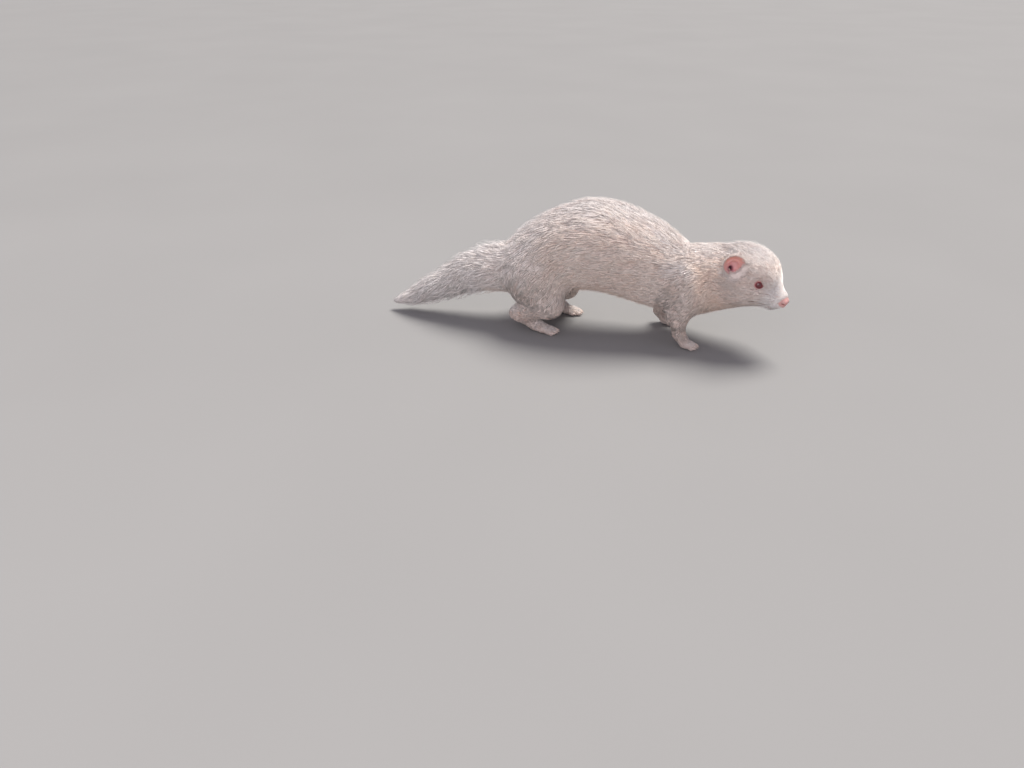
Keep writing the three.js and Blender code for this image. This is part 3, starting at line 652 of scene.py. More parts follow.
def shader(name, colour, roughness, **values):
    """A material and its main shader, whose sockets are set by name."""
    material = bpy.data.materials.new(name)
    material.use_nodes = True
    main = material.node_tree.nodes["Principled BSDF"]
    main.inputs["Base Color"].default_value = (*colour, 1)
    main.inputs["Roughness"].default_value = roughness
    for key, value in values.items():
        main.inputs[key.replace("_", " ")].default_value = value
    return material, main


def beside(place, kind, **values):
    """A new node in the tree of another node or socket."""
    node = place.id_data.nodes.new(kind)
    for key, value in values.items():
        node.inputs[key].default_value = value
    return node


def link(source, socket):
    source.id_data.links.new(source, socket)


def ramp(source, *stops):
    """A colour ramp fed by a socket, from pairs of place and colour."""
    node = beside(source, "ShaderNodeValToRGB")
    elements = node.color_ramp.elements
    while len(elements) < len(stops):
        elements.new(0.5)
    for element, (place, colour) in zip(elements, stops):
        element.position = place
        element.color = (*colour, 1)
    link(source, node.inputs[0])
    return node.outputs[0]


def at_points(main, name):
    node = beside(main, "ShaderNodeAttribute")
    node.attribute_name = name
    return node.outputs["Fac"]


def mixed(share, first, second):
    """A mix of two colour sockets by a value socket."""
    node = beside(share, "ShaderNodeMix")
    node.data_type = "RGBA"
    for n, source in ((0, share), (6, first), (7, second)):
        link(source, node.inputs[n])
    return node.outputs[2]


def texture(main, kind, scale, output):
    """A procedural texture over the object's own space."""
    place = beside(main, "ShaderNodeTexCoord")
    node = beside(main, kind, Scale=scale)
    link(place.outputs["Object"], node.inputs["Vector"])
    return node.outputs[output]


def noise(main, scale):
    return texture(main, "ShaderNodeTexNoise", scale, "Fac")


def mottled(main, scale, first, second):
    """Soft patches of two colours."""
    return ramp(noise(main, scale), (0.3, first), (0.7, second))


def bump(main, height, strength, distance):
    node = beside(main, "ShaderNodeBump", Strength=strength, Distance=distance)
    link(height, node.inputs["Height"])
    link(node.outputs["Normal"], main.inputs["Normal"])


def paint(main, colour):
    link(colour, main.inputs["Base Color"])


fur, main = shader("fur", (0.9, 0.85, 0.8), 0.5, Sheen_Weight=0.3, Sheen_Roughness=0.45,
                   Specular_IOR_Level=0.35)
tone = at_points(main, "tone")
cool = ramp(tone, (0, (0.86, 0.78, 0.75)), (0.45, (0.95, 0.91, 0.9)), (1, (0.97, 0.95, 0.93)))
warm = ramp(tone, (0, (0.82, 0.58, 0.48)), (0.45, (0.92, 0.73, 0.62)), (1, (0.95, 0.82, 0.72)))
paint(main, mixed(at_points(main, "warm"), cool, warm))

under_coat, main = shader("under_coat", (0.75, 0.6, 0.52), 0.8)
pale = mottled(main, 260, (0.88, 0.75, 0.67), (0.94, 0.86, 0.79))
blush = mottled(main, 500, (0.7, 0.42, 0.39), (0.8, 0.55, 0.5))
paint(main, mixed(at_points(main, "bare"), pale, blush))
bump(main, noise(main, 900), 0.4, 0.0006)

ear_skin, main = shader("ear_skin", (0.8, 0.42, 0.4), 0.5, Subsurface_Weight=0.3,
                        Subsurface_Radius=(0.004, 0.0015, 0.001), Subsurface_Scale=1)
# Painted shade: the ear's skin darkens from pink at the rim to near black in the canal
paint(main, ramp(at_points(main, "hollow_shade"), (0, (0.9, 0.45, 0.38)), (0.3, (0.8, 0.42, 0.42)),
                 (0.6, (0.42, 0.16, 0.19)), (1, (0.05, 0.012, 0.02))))
bump(main, noise(main, 700), 0.3, 0.0004)

nose_skin, main = shader("nose_skin", (0.76, 0.48, 0.43), 0.42, Subsurface_Weight=0.15,
                         Subsurface_Radius=(0.003, 0.001, 0.001), Subsurface_Scale=1)
# Painted shade: the nose pad darkens to near black inside the nostrils
paint(main, ramp(at_points(main, "hollow_shade"), (0, (0.72, 0.41, 0.38)), (0.5, (0.55, 0.26, 0.25)),
                 (1, (0.1, 0.02, 0.03))))
bump(main, texture(main, "ShaderNodeTexVoronoi", 1900, "Distance"), 0.5, 0.0002)

lid_skin, main = shader("lid_skin", (0.7, 0.42, 0.4), 0.42)
ruddy = mottled(main, 600, (0.62, 0.33, 0.32), (0.78, 0.5, 0.47))
dark = mottled(main, 600, (0.3, 0.1, 0.11), (0.42, 0.17, 0.17))
paint(main, mixed(at_points(main, "margin"), ruddy, dark))

ruby, main = shader("ruby_eye", (0.2, 0.01, 0.02), 0.05, Coat_Weight=1.0, Coat_Roughness=0.02)
paint(main, ramp(at_points(main, "aim"), (0, (0.1, 0.006, 0.012)), (0.34, (0.12, 0.008, 0.014)),
                 (0.44, (0.3, 0.035, 0.045)), (0.7, (0.38, 0.07, 0.08)), (0.84, (0.16, 0.02, 0.03)),
                 (0.95, (0.62, 0.36, 0.34))))

horn, main = shader("claw_horn", (0.8, 0.68, 0.6), 0.35)
paint(main, mottled(main, 1200, (0.72, 0.53, 0.46), (0.86, 0.76, 0.68)))

bristle, main = shader("whisker", (0.9, 0.87, 0.83), 0.4)
paint(main, mottled(main, 300, (0.84, 0.8, 0.75), (0.94, 0.92, 0.89)))


# Skin, hollowed for the eyes, the ears and the nose and along the line of the mouth

LINE_REACH = 8
SOLE = 0.5


def line_gap(p, line):
    """Distance to a line of points, where it is small."""
    gap = np.full(len(p), 40.0)
    close = np.nonzero((p > line.min(0) - LINE_REACH).all(1) & (p < line.max(0) + LINE_REACH).all(1))[0]
    for start, end in zip(line, line[1:]):
        gap[close] = np.minimum(gap[close], taper(p[close], start, end, 0, 0))
    return gap


mouth_line = settle(inner, from_head(spline(MOUTH, 16)), 4)


def hollows(p):
    """Where the skin is cut away for eyes, nose and mouth, as a distance."""
    q = to_head(p)
    d = np.minimum(line_gap(p, mouth_line) - 0.7, eye_gap(q) - 0.9)
    for _, local in seen_from(q, eye_frame):
        d = np.minimum(d, norm(local, axis=1) - EYE_RADIUS - 0.5)
    return np.minimum(d, nose_wing(q) + 1)


skin_values = outer_field + depth_field
first = [np.nonzero(axis > low)[0][0] for axis, low in zip(axes, (HEAD_BACK, -60, 20))]
block = tuple(slice(n, None) for n in first)
values = skin_values[block].ravel()
close = np.abs(values) < 14
spots = crossings_of(*[axis[n:] for axis, n in zip(axes, first)])[close]
values[close] = np.maximum(values[close], -hollows(spots))
skin_values[block] = values.reshape(skin_values[block].shape)
skin_values = np.maximum(skin_values, SOLE - axes[2][None, None, :])
skin_points, skin_faces = net(skin_values, axes)
bare = np.maximum(1 - smooth_step(eye_gap(to_head(skin_points)), 0.8, 2.6),
                  1 - smooth_step(line_gap(skin_points, mouth_line), 0.6, 1.8))
bare = np.maximum(bare, 1 - smooth_step(skin_points[:, 2], 1.0, 2.5))
skin = dress(dense_mesh("skin", skin_points, skin_faces), under_coat, {"bare": bare})
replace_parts(skin, *FLESH)


# Coat: roots spread over the skin, and tufts that follow its lie

def trunk_flow(p, normals):
    """Back along the spine and down the flanks."""
    tangents = unit(np.gradient(spine_line, axis=0))
    flow = np.column_stack([np.interp(-p[:, 0], -spine_line[:, 0], tangents[:, n]) for n in range(3)])
    flow[:, 2] -= SIDE_FALL * (1 - np.abs(normals[:, 2]))
    return flow


def head_flow(p):
    """Back from the nose, parting over the face and down the cheeks."""
    q = to_head(p)
    aside = 0.35 * np.clip(q[:, 1] / 7, -1, 1) * smooth_step(-q[:, 0], 8, 30)
    down = -0.12 * smooth_step(-q[:, 2], -14, 2)
    return np.column_stack([-np.ones(len(p)), aside, down]) @ HEAD_TURN.T


def leg_flow(p, thigh):
    """Down each leg and forward over its paw, swept back at its root."""
    flow = np.zeros_like(p)
    best = np.full(len(p), 1e9)
    for leg in LEGS:
        chain = [*leg_points(leg), toes_of(leg)[2][2]]
        for start, end in zip(chain, chain[1:]):
            gap = taper(p, start, end, 0, 0)
            closer = gap < best
            best[closer] = gap[closer]
            flow[closer] = (end - start) / norm(end - start)
    return unit(flow + thigh[:, None] * [-1.3, 0, -0.5])


def wander(p):
    """A slow, even waver of the lie, about 0, from place to place."""
    x, y, z = p.T
    waver = 0.1 * np.sin(x * 0.11 + z * 0.07 + 1) + 0.09 * np.sin(y * 0.17 - x * 0.045)
    return waver + 0.1 * np.sin(z * 0.33 + x * 0.21) + 0.1 * np.sin(x * 0.52 - z * 0.44 + y * 0.3)


def turned_about(normals, flow, angle):
    return flow * np.cos(angle)[:, None] + np.cross(normals, flow) * np.sin(angle)[:, None]


def lie_of(p, shares, normals):
    """The direction in which the coat lies, along the surface."""
    head = shares[:, HEAD].sum(1)[:, None]
    leg = shares[:, LEG].sum(1)[:, None]
    flow = head * head_flow(p) + leg * leg_flow(p, shares[:, THIGH])
    flow = flow + (1 - head - leg) * trunk_flow(p, normals)
    flow = unit(flow - (flow * normals).sum(1)[:, None] * normals)
    return turned_about(normals, flow, wander(p))


def spread(points, faces, density):
    """Places over four-sided faces, so many to a square millimetre."""
    triangles = np.concatenate([faces[:, [0, 1, 2]], faces[:, [0, 2, 3]]])
    a, b, c = [points[triangles[:, n]] for n in range(3)]
    wanted = norm(np.cross(b - a, c - a), axis=1) / 2 * density((a + b + c) / 3)
    chosen = np.sort(rng.choice(len(triangles), int(wanted.sum()), p=wanted / wanted.sum()))
    u, v = rng.random((2, len(chosen)))
    flip = u + v > 1
    u[flip], v[flip] = 1 - u[flip], 1 - v[flip]
    return a[chosen] + u[:, None] * (b - a)[chosen] + v[:, None] * (c - a)[chosen]


def density_of(p):
    q = to_head(p)
    clear = (p[:, 2] > 1.1) & (nose_wing(q) > -0.2) & (eye_gap(q) > 0.35)
    clear = clear & (ear_gap(q) > 0.1) & (ear_cover(q) < -0.4)
    return clear * (regions_of(p, body_parts(p)) @ COAT_TABLE[:, DENSITY]) / COARSE ** 2


roots = spread(skin_points, skin_faces, density_of)
roots = roots[(line_gap(roots, mouth_line) > 1.0) & (inner(roots) > -0.3)]
shares = regions_of(roots, body_parts(roots))
normals = unit(slope_of(inner, roots))
flow = lie_of(roots, shares, normals)
number = len(roots)
depth, length, width, _, stray, warmth = (shares @ COAT_TABLE).T
flow = turned_about(normals, flow, rng.normal(0, 1, number) * stray)

# Lengths vary, and end short of the eyes, the lips, the front of the ears and the tip of the tail
length = length * rng.uniform(0.75, 1.15, number)
head_place = to_head(roots)
for room, least in (
        (eye_gap(head_place) * 1.1, 1), (line_gap(roots, mouth_line) * 1.8, 1.6),
        (ear_gap(head_place) + 3, 3), (roots[:, 0] + SPINE[-1, 0] + 4, 4)):
    length = np.minimum(length, np.maximum(room, least))

# A few thin tufts stand out of the coat, most of them along the back and over the crown
topside = smooth_step(normals[:, 2], 0.0, 0.6)
long_coat = smooth_step(depth, 2.5, 6)
crown = shares[:, FACE_AND_CROWN].sum(1) * topside
loose = rng.random(number) < 0.1 + 0.14 * topside
lift = rng.uniform(0.88, 1.0, number)
stand = rng.uniform(0.06, 0.75, number) * (0.35 + 0.65 * long_coat + 1.1 * crown)
lift = np.where(loose, lift + stand, lift)
lift = lift * (0.2 + 0.8 * smooth_step(eye_gap(head_place), 0.4, 5))
width = width * rng.uniform(0.7, 1.2, number) * np.where(loose, 0.65, 1)


def gathered(places, each):
    """For each place, the nearest of some chosen among them, one for so many."""
    chosen = rng.permutation(len(places))[:len(places) // each]
    tree = KDTree(len(chosen))
    for n, at in enumerate(chosen):
        tree.insert(places[at], n)
    tree.balance()
    return np.array([chosen[tree.find(place)[1]] for place in places])


# Tips gather toward the middle of their clump, and clumps lie in long locks along the lie of the coat
clump = gathered(roots, TUFTS_A_CLUMP)
by_home = [shares[:, HEAD].sum(1), shares[:, TRUNK].sum(1), shares[:, TAIL], shares[:, LEG].sum(1)]
home = np.argmax(by_home, axis=0)
locks = roots * np.array([[0.4, 1, 1], [0.2, 1, 1], [0.2, 1, 1], [1, 1, 0.4]])[home]
fall = SIDE_FALL * (roots[:, 0] + 180) * (1 - np.abs(normals[:, 2]))
locks[:, 2] -= ((home == 1) | (home == 2)) * (spine_at(roots[:, 0], 2) + fall)
locks[:, 0] += 1000 * home
lock = gathered(locks, TUFTS_A_LOCK)
lift = lift + rng.normal(0, 0.03, number)[lock] * np.where(loose, 0, 1)
pull = rng.uniform(0.05, 0.32, number) * np.where(loose, 0.3, 1)
pull = pull * (1 + 0.6 * shares[:, FACE_AND_CROWN].sum(1))
shade = rng.normal(0, 0.05, number) + rng.normal(0, 0.04, number)[clump]
shade = shade + rng.normal(0, 0.08, number)[lock]
# Painted light and shade: coat facing up is given a cooler, paler colour, and coat facing sideways or
# down a warmer, darker one
warmth = warmth * (1.2 - 0.85 * smooth_step(normals[:, 2], 0.2, 0.95))
warmth = warmth + rng.normal(0, 0.06, number) + rng.normal(0, 0.06, number)[lock]


def level(p, target):
    """Moves points to a share of the coat's depth above the skin."""
    for _ in range(2):
        slope = slope_of(outer, p)
        size = np.maximum((slope ** 2).sum(1), 0.3)
        miss = outer(p) + sampled(depth_field, p) * (1 - target)
        p = p - (np.clip(miss, -3, 3) / size)[:, None] * slope
    return p


paths = [level(roots, np.full(number, STOPS[0, 1]))]
direction = flow
for (last, _, _), (stop, height, _) in zip(STOPS, STOPS[1:]):
    ahead = paths[-1] + direction * (length * (stop - last))[:, None]
    goal = roots[clump] + flow[clump] * (length * stop)[:, None]
    near = norm(goal - ahead, axis=1) < 8
    ahead = ahead + (pull * stop ** 2 * near)[:, None] * (goal - ahead)
    ahead = level(ahead, height * lift)
    normal_here = unit(slope_of(outer, ahead))
    direction = unit(ahead - paths[-1])
    direction = unit(direction - 0.8 * (direction * normal_here).sum(1)[:, None] * normal_here)
    paths.append(ahead)
path = np.stack(paths, 1)


def highest(path, field):
    """The highest value of a field of the head along each tuft."""
    steps = [path[:, n] + (path[:, n + 1] - path[:, n]) * part for n in range(path.shape[1] - 1)
             for part in (0.25, 0.5, 0.75, 1)]
    return np.max([field(to_head(spots)) for spots in steps], axis=0)


kept = (ear_gap(to_head(path[:, 3])) > -3) & (path[:, :, 2].min(1) > 0.1)
kept &= (ear_cover(head_place) < -29) | (highest(path, ear_cover) < -0.9)


def add_coat(name, path, normal, width, warmth, shade, unwrap, stops):
    """A piece of closed, three-sided, pointed tufts."""
    many, rings = len(path), len(stops) - 1
    each = 3 * rings + 1
    points, tones = np.empty((many, each, 3)), np.empty((many, each))
    spots = np.empty((many, each, 2))
    for ring in range(rings):
        tangent = unit(path[:, ring + 1] - path[:, ring])
        side = unit(np.cross(tangent, normal))
        out = np.cross(side, tangent)
        half = (width * stops[ring, 2] / 2)[:, None]
        for n, (across, rise) in enumerate(((-1, -0.14), (0, 0.3), (1, -0.14))):
            points[:, 3 * ring + n] = path[:, ring] + side * half * across + out * half * rise
            tones[:, 3 * ring + n] = stops[ring, 0] + shade
            spots[:, 3 * ring + n] = unwrap + [0.0014 * across, 0.003 * stops[ring, 0] - 0.0015]
    points[:, -1] = path[:, -1]
    tones[:, -1] = 0.95 + shade
    spots[:, -1] = unwrap + [0, 0.0015]
    pattern = [[0, 1, 2]]
    for ring in range(rings - 1):
        for n in range(3):
            a, b = 3 * ring + n, 3 * ring + (n + 1) % 3
            pattern += [[a, a + 3, b + 3], [a, b + 3, b]]
    for n in range(3):
        pattern.append([3 * rings - 3 + n, each - 1, 3 * rings - 3 + (n + 1) % 3])
    faces = (np.array(pattern)[None] + np.arange(many)[:, None, None] * each).reshape(-1, 3)
    mesh = dense_mesh(name, points.reshape(-1, 3), faces, spots.reshape(-1, 2))
    warm = np.repeat(np.clip(warmth, 0, 1), each)
    dress(mesh, fur, {"tone": np.clip(tones, 0, 1), "warm": warm})


# Places on an unwrap of the skin, within the bake map

def framed(share):
    return 0.01 + 0.98 * share


def fitted(values):
    return framed((values - values.min()) / max(np.ptp(values), 1e-9))


def round_map(along, aside, up):
    """Distance along a part and the angle around it, as a place on its map."""
    return np.column_stack([fitted(along), framed(np.arctan2(aside, up) / math.tau + 0.5)])


def trunk_map(p):
    x, y, z = p.T
    return round_map(x, y - spine_at(x, 1), z - spine_at(x, 2))


def head_map(p):
    q = to_head(p)
    return round_map(q[:, 0], q[:, 1], q[:, 2] - 2)


def leg_map(p):
    gaps = [line_gap(p, leg_points(leg)) for leg in LEGS]
    nearest = np.argmin(gaps, axis=0)
    offset = p - np.array([leg_points(leg)[-1] for leg in LEGS])[nearest]
    angle = np.arctan2(offset[:, 1], offset[:, 0]) / math.tau + 0.5
    return np.column_stack([(nearest + 0.03 + 0.94 * angle) / 4, fitted(p[:, 2])])


for n, (part, stops, map_of) in enumerate((
        ("head", SHORT_TUFT, head_map), ("body", LONG_TUFT, trunk_map),
        ("tail", LONG_TUFT, trunk_map), ("legs", SHORT_TUFT, leg_map))):
    members = np.nonzero((home == n) & kept)[0]
    members = members[np.argsort(roots[members, 0])]
    limit = FACES_A_PIECE // (6 * (len(stops) - 1) - 2)
    for k, some in enumerate(np.array_split(members, math.ceil(len(members) / limit))):
        add_coat(f"coat_{part}_{k + 1}", path[some][:, stops], normals[some], width[some], warmth[some],
                 shade[some], map_of(roots[some]), STOPS[stops])


# Ears: a cup of thin skin, with fur on its back, over its rim and inside its front

def grid_faces(rows, columns):
    """Four-sided faces between rows of points that each close round."""
    a = np.arange((rows - 1) * columns).reshape(-1, columns)
    b = np.roll(a, -1, axis=1)
    return np.stack([a, b, b + columns, a + columns], -1).reshape(-1, 4)


def ear_oval(out, angle):
    """Where a share of the way to an ear's rim lies across it, at an angle."""
    _, wide, tall = EAR_SIZE
    return out * wide / 2 * np.cos(angle), out * tall / 2 * np.sin(angle) + tall / 2


def ear_surface(out, angle, side, back):
    """Points on the cup's inner face or back in the ear's frame, and each one's painted shade, deepest
    in the canal.
    """
    hollow, wide, tall = EAR_SIZE
    y, z = ear_oval(out, angle)
    forward, up = -side * y / wide, z / tall
    bowl = -hollow * (1 - out ** 2)
    canal = canal_share(np.stack([0 * out, y, z], -1), side)
    if back:
        return np.stack([ear_back(out, canal), y, z], -1), 0.12 + 0 * out
    fold = 1.3 * np.exp(-((np.hypot(forward - 0.02, up - 0.42) - 0.27) / 0.045) ** 2) * (up > 0.42)
    tragus = 2.2 * np.exp(-((forward - 0.2) ** 2 + (up - 0.16) ** 2) / 0.008)
    rim = 0.5 * smooth_step(out, 0.86, 1)
    # Painted shade, darker toward the cup's middle, its lower part and most of all the canal
    hollow_shade = np.clip(0.95 * canal + 0.3 * (1 - out) + 0.25 * (0.5 - up), 0, 1)
    return np.stack([bowl + fold + tragus + rim - 3.6 * canal, y, z], -1), hollow_shade


def uncut(p):
    """The outside of the body before the ears' funnels."""
    return whole_of(body_parts(p))


AROUND, RINGS = 56, 18
# How many tufts an ear has, between which shares of the way to its rim, where, and how far they reach
EAR_TUFTS = [
    (2300, 0.05, 1, "back", 3.8), (950, 0.84, 1.02, "rim", 2.4), (560, 0.84, 1.06, "front", 3.4),
]
FRINGE_TUFTS, EAR_TUFT_WIDTH = 600, 0.34
turns = np.arange(AROUND) / AROUND * math.tau
to_rim = np.linspace(0.03, 1, RINGS)
rows = [(out, False) for out in to_rim] + [(out, True) for out in to_rim[::-1]]
ear_tufts = []
for side, half in SIDES:
    at, look = ear_frame(side)
    made = [ear_surface(np.full(AROUND, out), turns, side, back) for out, back in rows]
    local, hollow_shade = [np.concatenate(some) for some in zip(*made)]
    faces = grid_faces(len(rows), AROUND).tolist()
    faces += [list(range(AROUND))[::-1], list(range(len(local) - AROUND, len(local)))]
    mesh = loose_mesh(f"ear_{half}_skin", from_head(local @ look.T + at), faces)
    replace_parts(dress(mesh, ear_skin, {"hollow_shade": hollow_shade}), f"ear_{half}")

    # Roots on the back, on the rim and inside the front of the cup, where hairs lie back over it
    front = 0 if side < 0 else math.pi
    for many, low, high, place, reach in EAR_TUFTS:
        out = np.sqrt(rng.uniform(low ** 2, high ** 2, many))
        angle = rng.uniform(-math.pi, math.pi, many)
        if place == "front":
            angle = front + side * rng.normal(0.75, 0.5, many)
        across = np.column_stack([np.zeros(many), np.cos(angle), np.sin(angle)])
        swept, away = across + [0.35, 0, 0], across * 0.5 + [0.6, 0, 0]
        if place == "back":
            swept[:, 0], away[:, 0] = 1.6 * out - 0.5, -1.0
        if place == "front":
            upward = rng.normal(0.3, 0.25, many)
            swept = np.column_stack([np.full(many, 0.2), np.full(many, side), upward])
        base = ear_surface(out, angle, side, place == "back")[0]
        swept = unit(swept + rng.normal(0, 0.26, (many, 3)))
        long = (reach * rng.uniform(0.45, 1.2, many))[:, None]
        bend = base + swept * long * 0.45 + unit(away) * 0.35
        line = np.stack([from_head(one @ look.T + at) for one in (base, bend, base + swept * long)], 1)
        up = unit(away) @ look.T @ HEAD_TURN.T
        clear = (highest(line, ear_cover) < 0.3) | (place != "back")
        spots = np.column_stack([angle / math.tau % 1, out])
        ear_tufts.append((line[clear], up[clear], spots[clear]))

    # A fringe from the side of the head that lies back over the front of the cup
    many = FRINGE_TUFTS
    angle = front + side * rng.normal(0.6, 0.6, many)
    out = 1.03 + 0.6 * rng.random(many) ** 1.2
    base = np.column_stack([np.full(many, 4.0), *ear_oval(out, angle)])
    swept = np.column_stack([np.zeros(many), np.full(many, side), rng.normal(0.25, 0.22, many)])
    long = rng.uniform(4.5, 9, many)[:, None]
    line = []
    for share, sunk in ((0, 2.0), (0.45, 0.8), (1, 0.9)):
        spot = settle(uncut, from_head((base + swept * long * share) @ look.T + at), 3)
        line.append(spot - sunk * unit(slope_of(uncut, spot)))
    up = unit(slope_of(uncut, line[1]))
    ear_tufts.append((np.stack(line, 1), up, np.column_stack([angle / math.tau % 1, out / 1.5])))
path, normal, place = [np.concatenate([one[n] for one in ear_tufts]) for n in range(3)]
width = EAR_TUFT_WIDTH * rng.uniform(0.6, 1.2, len(path))
shade = rng.normal(0, 0.06, len(path))
add_coat("coat_ears", path, normal, width, 0.45 + shade, shade, framed(place), STOPS[SHORT_TUFT])


# Eyes, with the cornea's bulge, and the lids round them

def ball_points(rows, columns):
    """Points of a ball whose poles lie along its look, which is +X."""
    polar = math.pi * np.arange(1, rows)[:, None] / rows
    around = math.tau * np.arange(columns)[None] / columns
    made = [np.cos(polar) + 0 * around, np.sin(polar) * np.cos(around), np.sin(polar) * np.sin(around)]
    return np.vstack([np.stack(made, -1).reshape(-1, 3), [[1, 0, 0], [-1, 0, 0]]])


def ball_faces(rows, columns):
    made = grid_faces(rows - 1, columns).tolist()
    top, bottom = (rows - 1) * columns, (rows - 1) * columns + 1
    for n in range(columns):
        following = (n + 1) % columns
        made.append([top, following, n])
        made.append([bottom, (rows - 2) * columns + n, (rows - 2) * columns + following])
    return made


def lid_field(local, side):
    """A thin shell over the eye, open in an almond and creased above it."""
    radius = norm(local, axis=1)
    open_by = almond(local, side)
    crease = 0.3 * np.exp(-((open_by - 1.7) / 0.28) ** 2) * (local[:, 2] > -1)
    swell = 0.3 * np.exp(-((open_by - 0.5) / 0.4) ** 2)
    shell = np.maximum(radius - EYE_RADIUS - 0.6 - swell + crease, EYE_RADIUS + 0.04 - radius)
    shell = np.maximum(shell, 0.6 - local[:, 0])
    return -blend(-shell, open_by, 0.5)


EYE_ROWS, EYE_COLUMNS, LID_CELL = 24, 36, 0.3
for side, half in SIDES:
    at, look = eye_frame(side)
    ball = ball_points(EYE_ROWS, EYE_COLUMNS)
    aim = np.arccos(np.clip(ball[:, 0], -1, 1)) / (math.pi / 2)
    bulge = 1 + 0.06 * np.exp(-(aim / 0.45) ** 2)
    local = ball * bulge[:, None] * EYE_RADIUS * 0.99
    faces = ball_faces(EYE_ROWS, EYE_COLUMNS)
    mesh = loose_mesh(f"eye_{half}_ball", from_head(local @ look.T + at), faces)
    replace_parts(dress(mesh, ruby, {"aim": aim}), f"eye_{half}")
    points, faces = local_net(lambda p: lid_field(p, side), (0, -6.4, -6.4), (6.6, 6.5, 6.5), LID_CELL)
    margin = 1 - smooth_step(almond(points, side), 0.0, 0.45)
    mesh = dense_mesh(f"lids_{half}", from_head(points @ look.T + at), faces)
    dress(mesh, lid_skin, {"margin": margin})


# Nose pad with its nostrils and the groove under it

NOSE_BACK, NOSE_CELL = 2.0, 0.32
NOSE_BALL = ([-7.2, 0, 0.4], [6.9, 6.0, 5.1])
NOSE_LOBE = ([-3.4, 3.4, 0.1], [3.3, 2.7, 3.1])
NOSE_FOOT = ([-4.8, 0, -3.6], [4.3, 2.9, 2.8])
NOSTRIL = ([-1.1, 2.7, 0.2], [2.8, 1.15, 1.25])
NOSTRIL_SLIT = ([-2.4, 5.2, -0.8], [2.6, 2.4, 0.6])
NOSTRIL_SHADE = ([-2.6, 2.8, 0.2], [2.4, 1.6, 1.5])


def nose_field(q):
    s = folded(q, NOSE_BACK)
    d = blend(egg(s, *NOSE_BALL), egg(s, *NOSE_LOBE), 2.2)
    d = blend(d, egg(s, *NOSE_FOOT), 2)
    d = blend(d, np.maximum(outer(from_head(q)) + 0.1, nose_wing(q)), 0.8)
    d = np.maximum(d, -blend(egg(s, *NOSTRIL), egg(s, *NOSTRIL_SLIT), 0.8))
    groove = np.where(s[:, 2] < 0.8, np.hypot(s[:, 1], (s[:, 0] + 0.3) * 0.4) - 0.36, 9)
    return np.maximum(d, -groove)


points, faces = local_net(nose_field, (-17.5, -10, -8.6), (0.5, 10.1, 7), NOSE_CELL)
# Painted shade inside the nostrils
hollow_shade = 1 - smooth_step(egg(folded(points, NOSE_BACK), *NOSTRIL_SHADE), -0.9, 0.5)
mesh = dense_mesh("nose_pad", from_head(points), faces)
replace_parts(dress(mesh, nose_skin, {"hollow_shade": hollow_shade}), "nose")


# Lips, claws and whiskers as tubes

def tube(line, radii, sides):
    """Points and faces of a closed tube along a line."""
    line = np.asarray(line, float)
    tangents = unit(np.gradient(line, axis=0))
    across = unit(np.cross(tangents, [[0.0, 0.0, 1.0]]))
    over = np.cross(across, tangents)
    turns = np.arange(sides) / sides * math.tau
    rows = [line[n] + radii[n] * (np.cos(turns)[:, None] * across[n] + np.sin(turns)[:, None] * over[n])
            for n in range(len(line))]
    faces = grid_faces(len(line), sides)[:, ::-1].tolist()
    faces.append(list(range(sides)))
    faces.append([(len(line) - 1) * sides + n for n in reversed(range(sides))])
    return np.concatenate(rows), faces


def joined(tubes):
    points, faces, start = [], [], 0
    for some, sides in tubes:
        points.append(some)
        faces += [[start + n for n in face] for face in sides]
        start += len(some)
    return np.concatenate(points), faces


lip_line = spline(mouth_line, 48)
radii = 0.5 * np.sin(np.linspace(0.08, math.pi - 0.08, len(lip_line))) ** 0.4
points, faces = tube(lip_line, radii, 8)
margin = np.full(len(points), 0.45)
dress(loose_mesh("lips", points, faces), lid_skin, {"margin": margin})

claws = []
for leg in LEGS:
    claw_length = leg[0]["paw"][3]
    for root, knuckle, tip, radius, spread_turn in toes_of(leg):
        steps = np.linspace(0, 1, 9)
        line = tip + [0, 0, radius * 0.42] + (steps * claw_length)[:, None] * turn(spread_turn, 0)[:, 0]
        line[:, 2] = np.maximum(line[:, 2] - 0.34 * claw_length * steps ** 2, 0.15)
        claws.append(tube(line, radius * 0.36 * (1 - steps) ** 0.6 + 0.04, 8))
dress(loose_mesh("claws", *joined(claws)), horn)

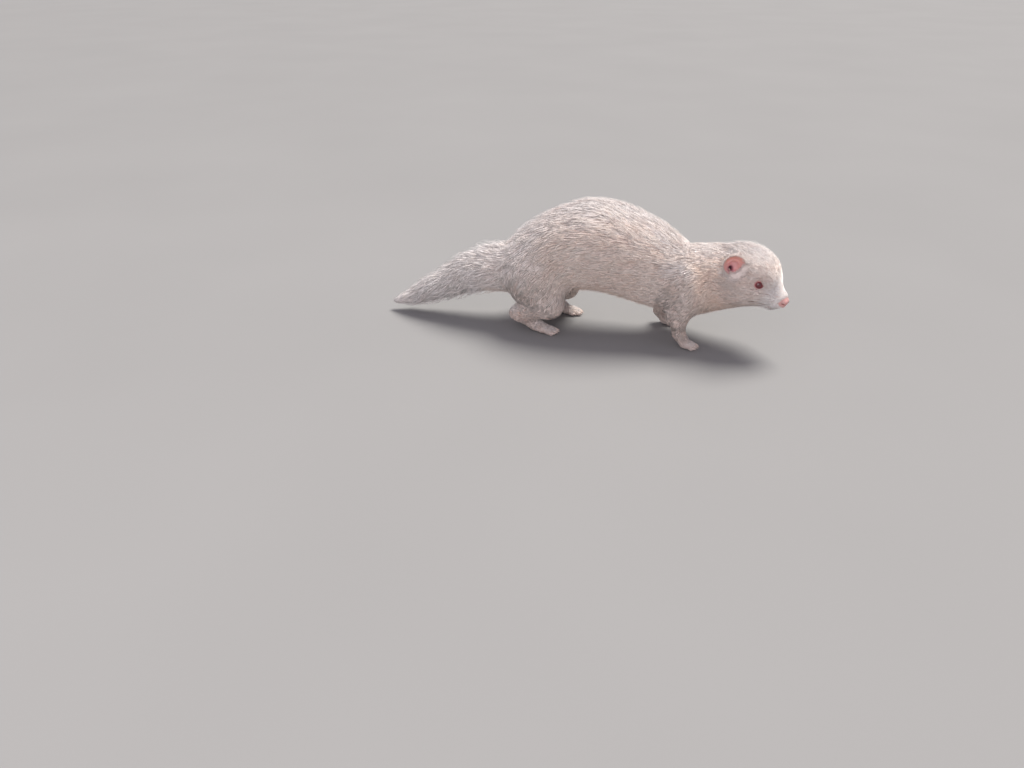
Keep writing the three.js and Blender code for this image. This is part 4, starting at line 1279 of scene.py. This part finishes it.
WHISKER_ROWS, WHISKERS_A_ROW = 4, 5
whiskers = []
for side, _ in SIDES:
    for row in range(WHISKER_ROWS):
        for n in range(WHISKERS_A_ROW):
            at = from_head([[-11 - 2.5 * n, side * (6.6 + 0.9 * n), -0.2 - 1.6 * row + 0.2 * n]])
            root = settle(inner, at, 3)[0]
            reach = rng.uniform(17, 31) * (0.75 + 0.08 * n)
            aim = np.array([-0.6 - 0.12 * n, side * 0.75, 0.12 - 0.16 * row]) + rng.normal(0, 0.06, 3)
            steps = np.linspace(-0.04, 1, 10)
            line = root + (steps * reach)[:, None] * (aim / norm(aim) @ HEAD_TURN.T)
            line[:, 2] -= 0.16 * reach * steps ** 2
            whiskers.append(tube(line, 0.17 * (1.02 - np.clip(steps, 0, 1)), 5))
dress(loose_mesh("whiskers", *joined(whiskers)), bristle)


# Floor, light and camera

FLOOR_REACH = 30
floor_paint, main = shader("floor", (0.25, 0.25, 0.25), 0.9)
paint(main, mottled(main, 3, (0.245, 0.245, 0.245), (0.255, 0.255, 0.255)))
mesh = bpy.data.meshes.new("floor")
corners = [(x * FLOOR_REACH, y * FLOOR_REACH, 0) for x, y in ((-1, -1), (1, -1), (1, 1), (-1, 1))]
mesh.from_pydata(corners, [], [(0, 1, 2, 3)])
mesh.materials.append(floor_paint)
floor = linked(mesh)

world = bpy.data.worlds.new("studio")
world.use_nodes = True
sky = world.node_tree.nodes["Background"].inputs
sky["Color"].default_value = (0.91, 0.86, 0.96, 1)
sky["Strength"].default_value = 0.52
scene.world = world


MODEL_MIDDLE = Vector((0, 0, 0.06))


def aim_light(name, kind, at, strength, tint, **values):
    """A lamp at a place in metres that shines on the model."""
    lamp = bpy.data.lights.new(name, kind)
    lamp.energy = strength
    lamp.color = tint
    for key, value in values.items():
        setattr(lamp, key, value)
    linked(lamp, at, MODEL_MIDDLE - Vector(at))


aim_light("key", "SUN", (0.28, 0.6, 1.3), 4.7, (1.0, 0.96, 0.9), angle=math.radians(30))
aim_light("fill", "AREA", (-0.3, -1.7, 1.0), 11, (1.0, 0.94, 0.97), size=1.6, shape="DISK")
scene.view_settings.view_transform = "Standard"

down, side_turn = math.radians(CAMERA_DOWN), math.radians(CAMERA_TURN)
ahead = Vector((-math.sin(side_turn), math.cos(side_turn), 0)) * math.cos(down)
ahead.z = -math.sin(down)
camera_data = bpy.data.cameras.new("camera")
camera_data.lens = CAMERA_LENS
bpy.context.scene.camera = linked(camera_data, placed(CAMERA_AT), ahead)
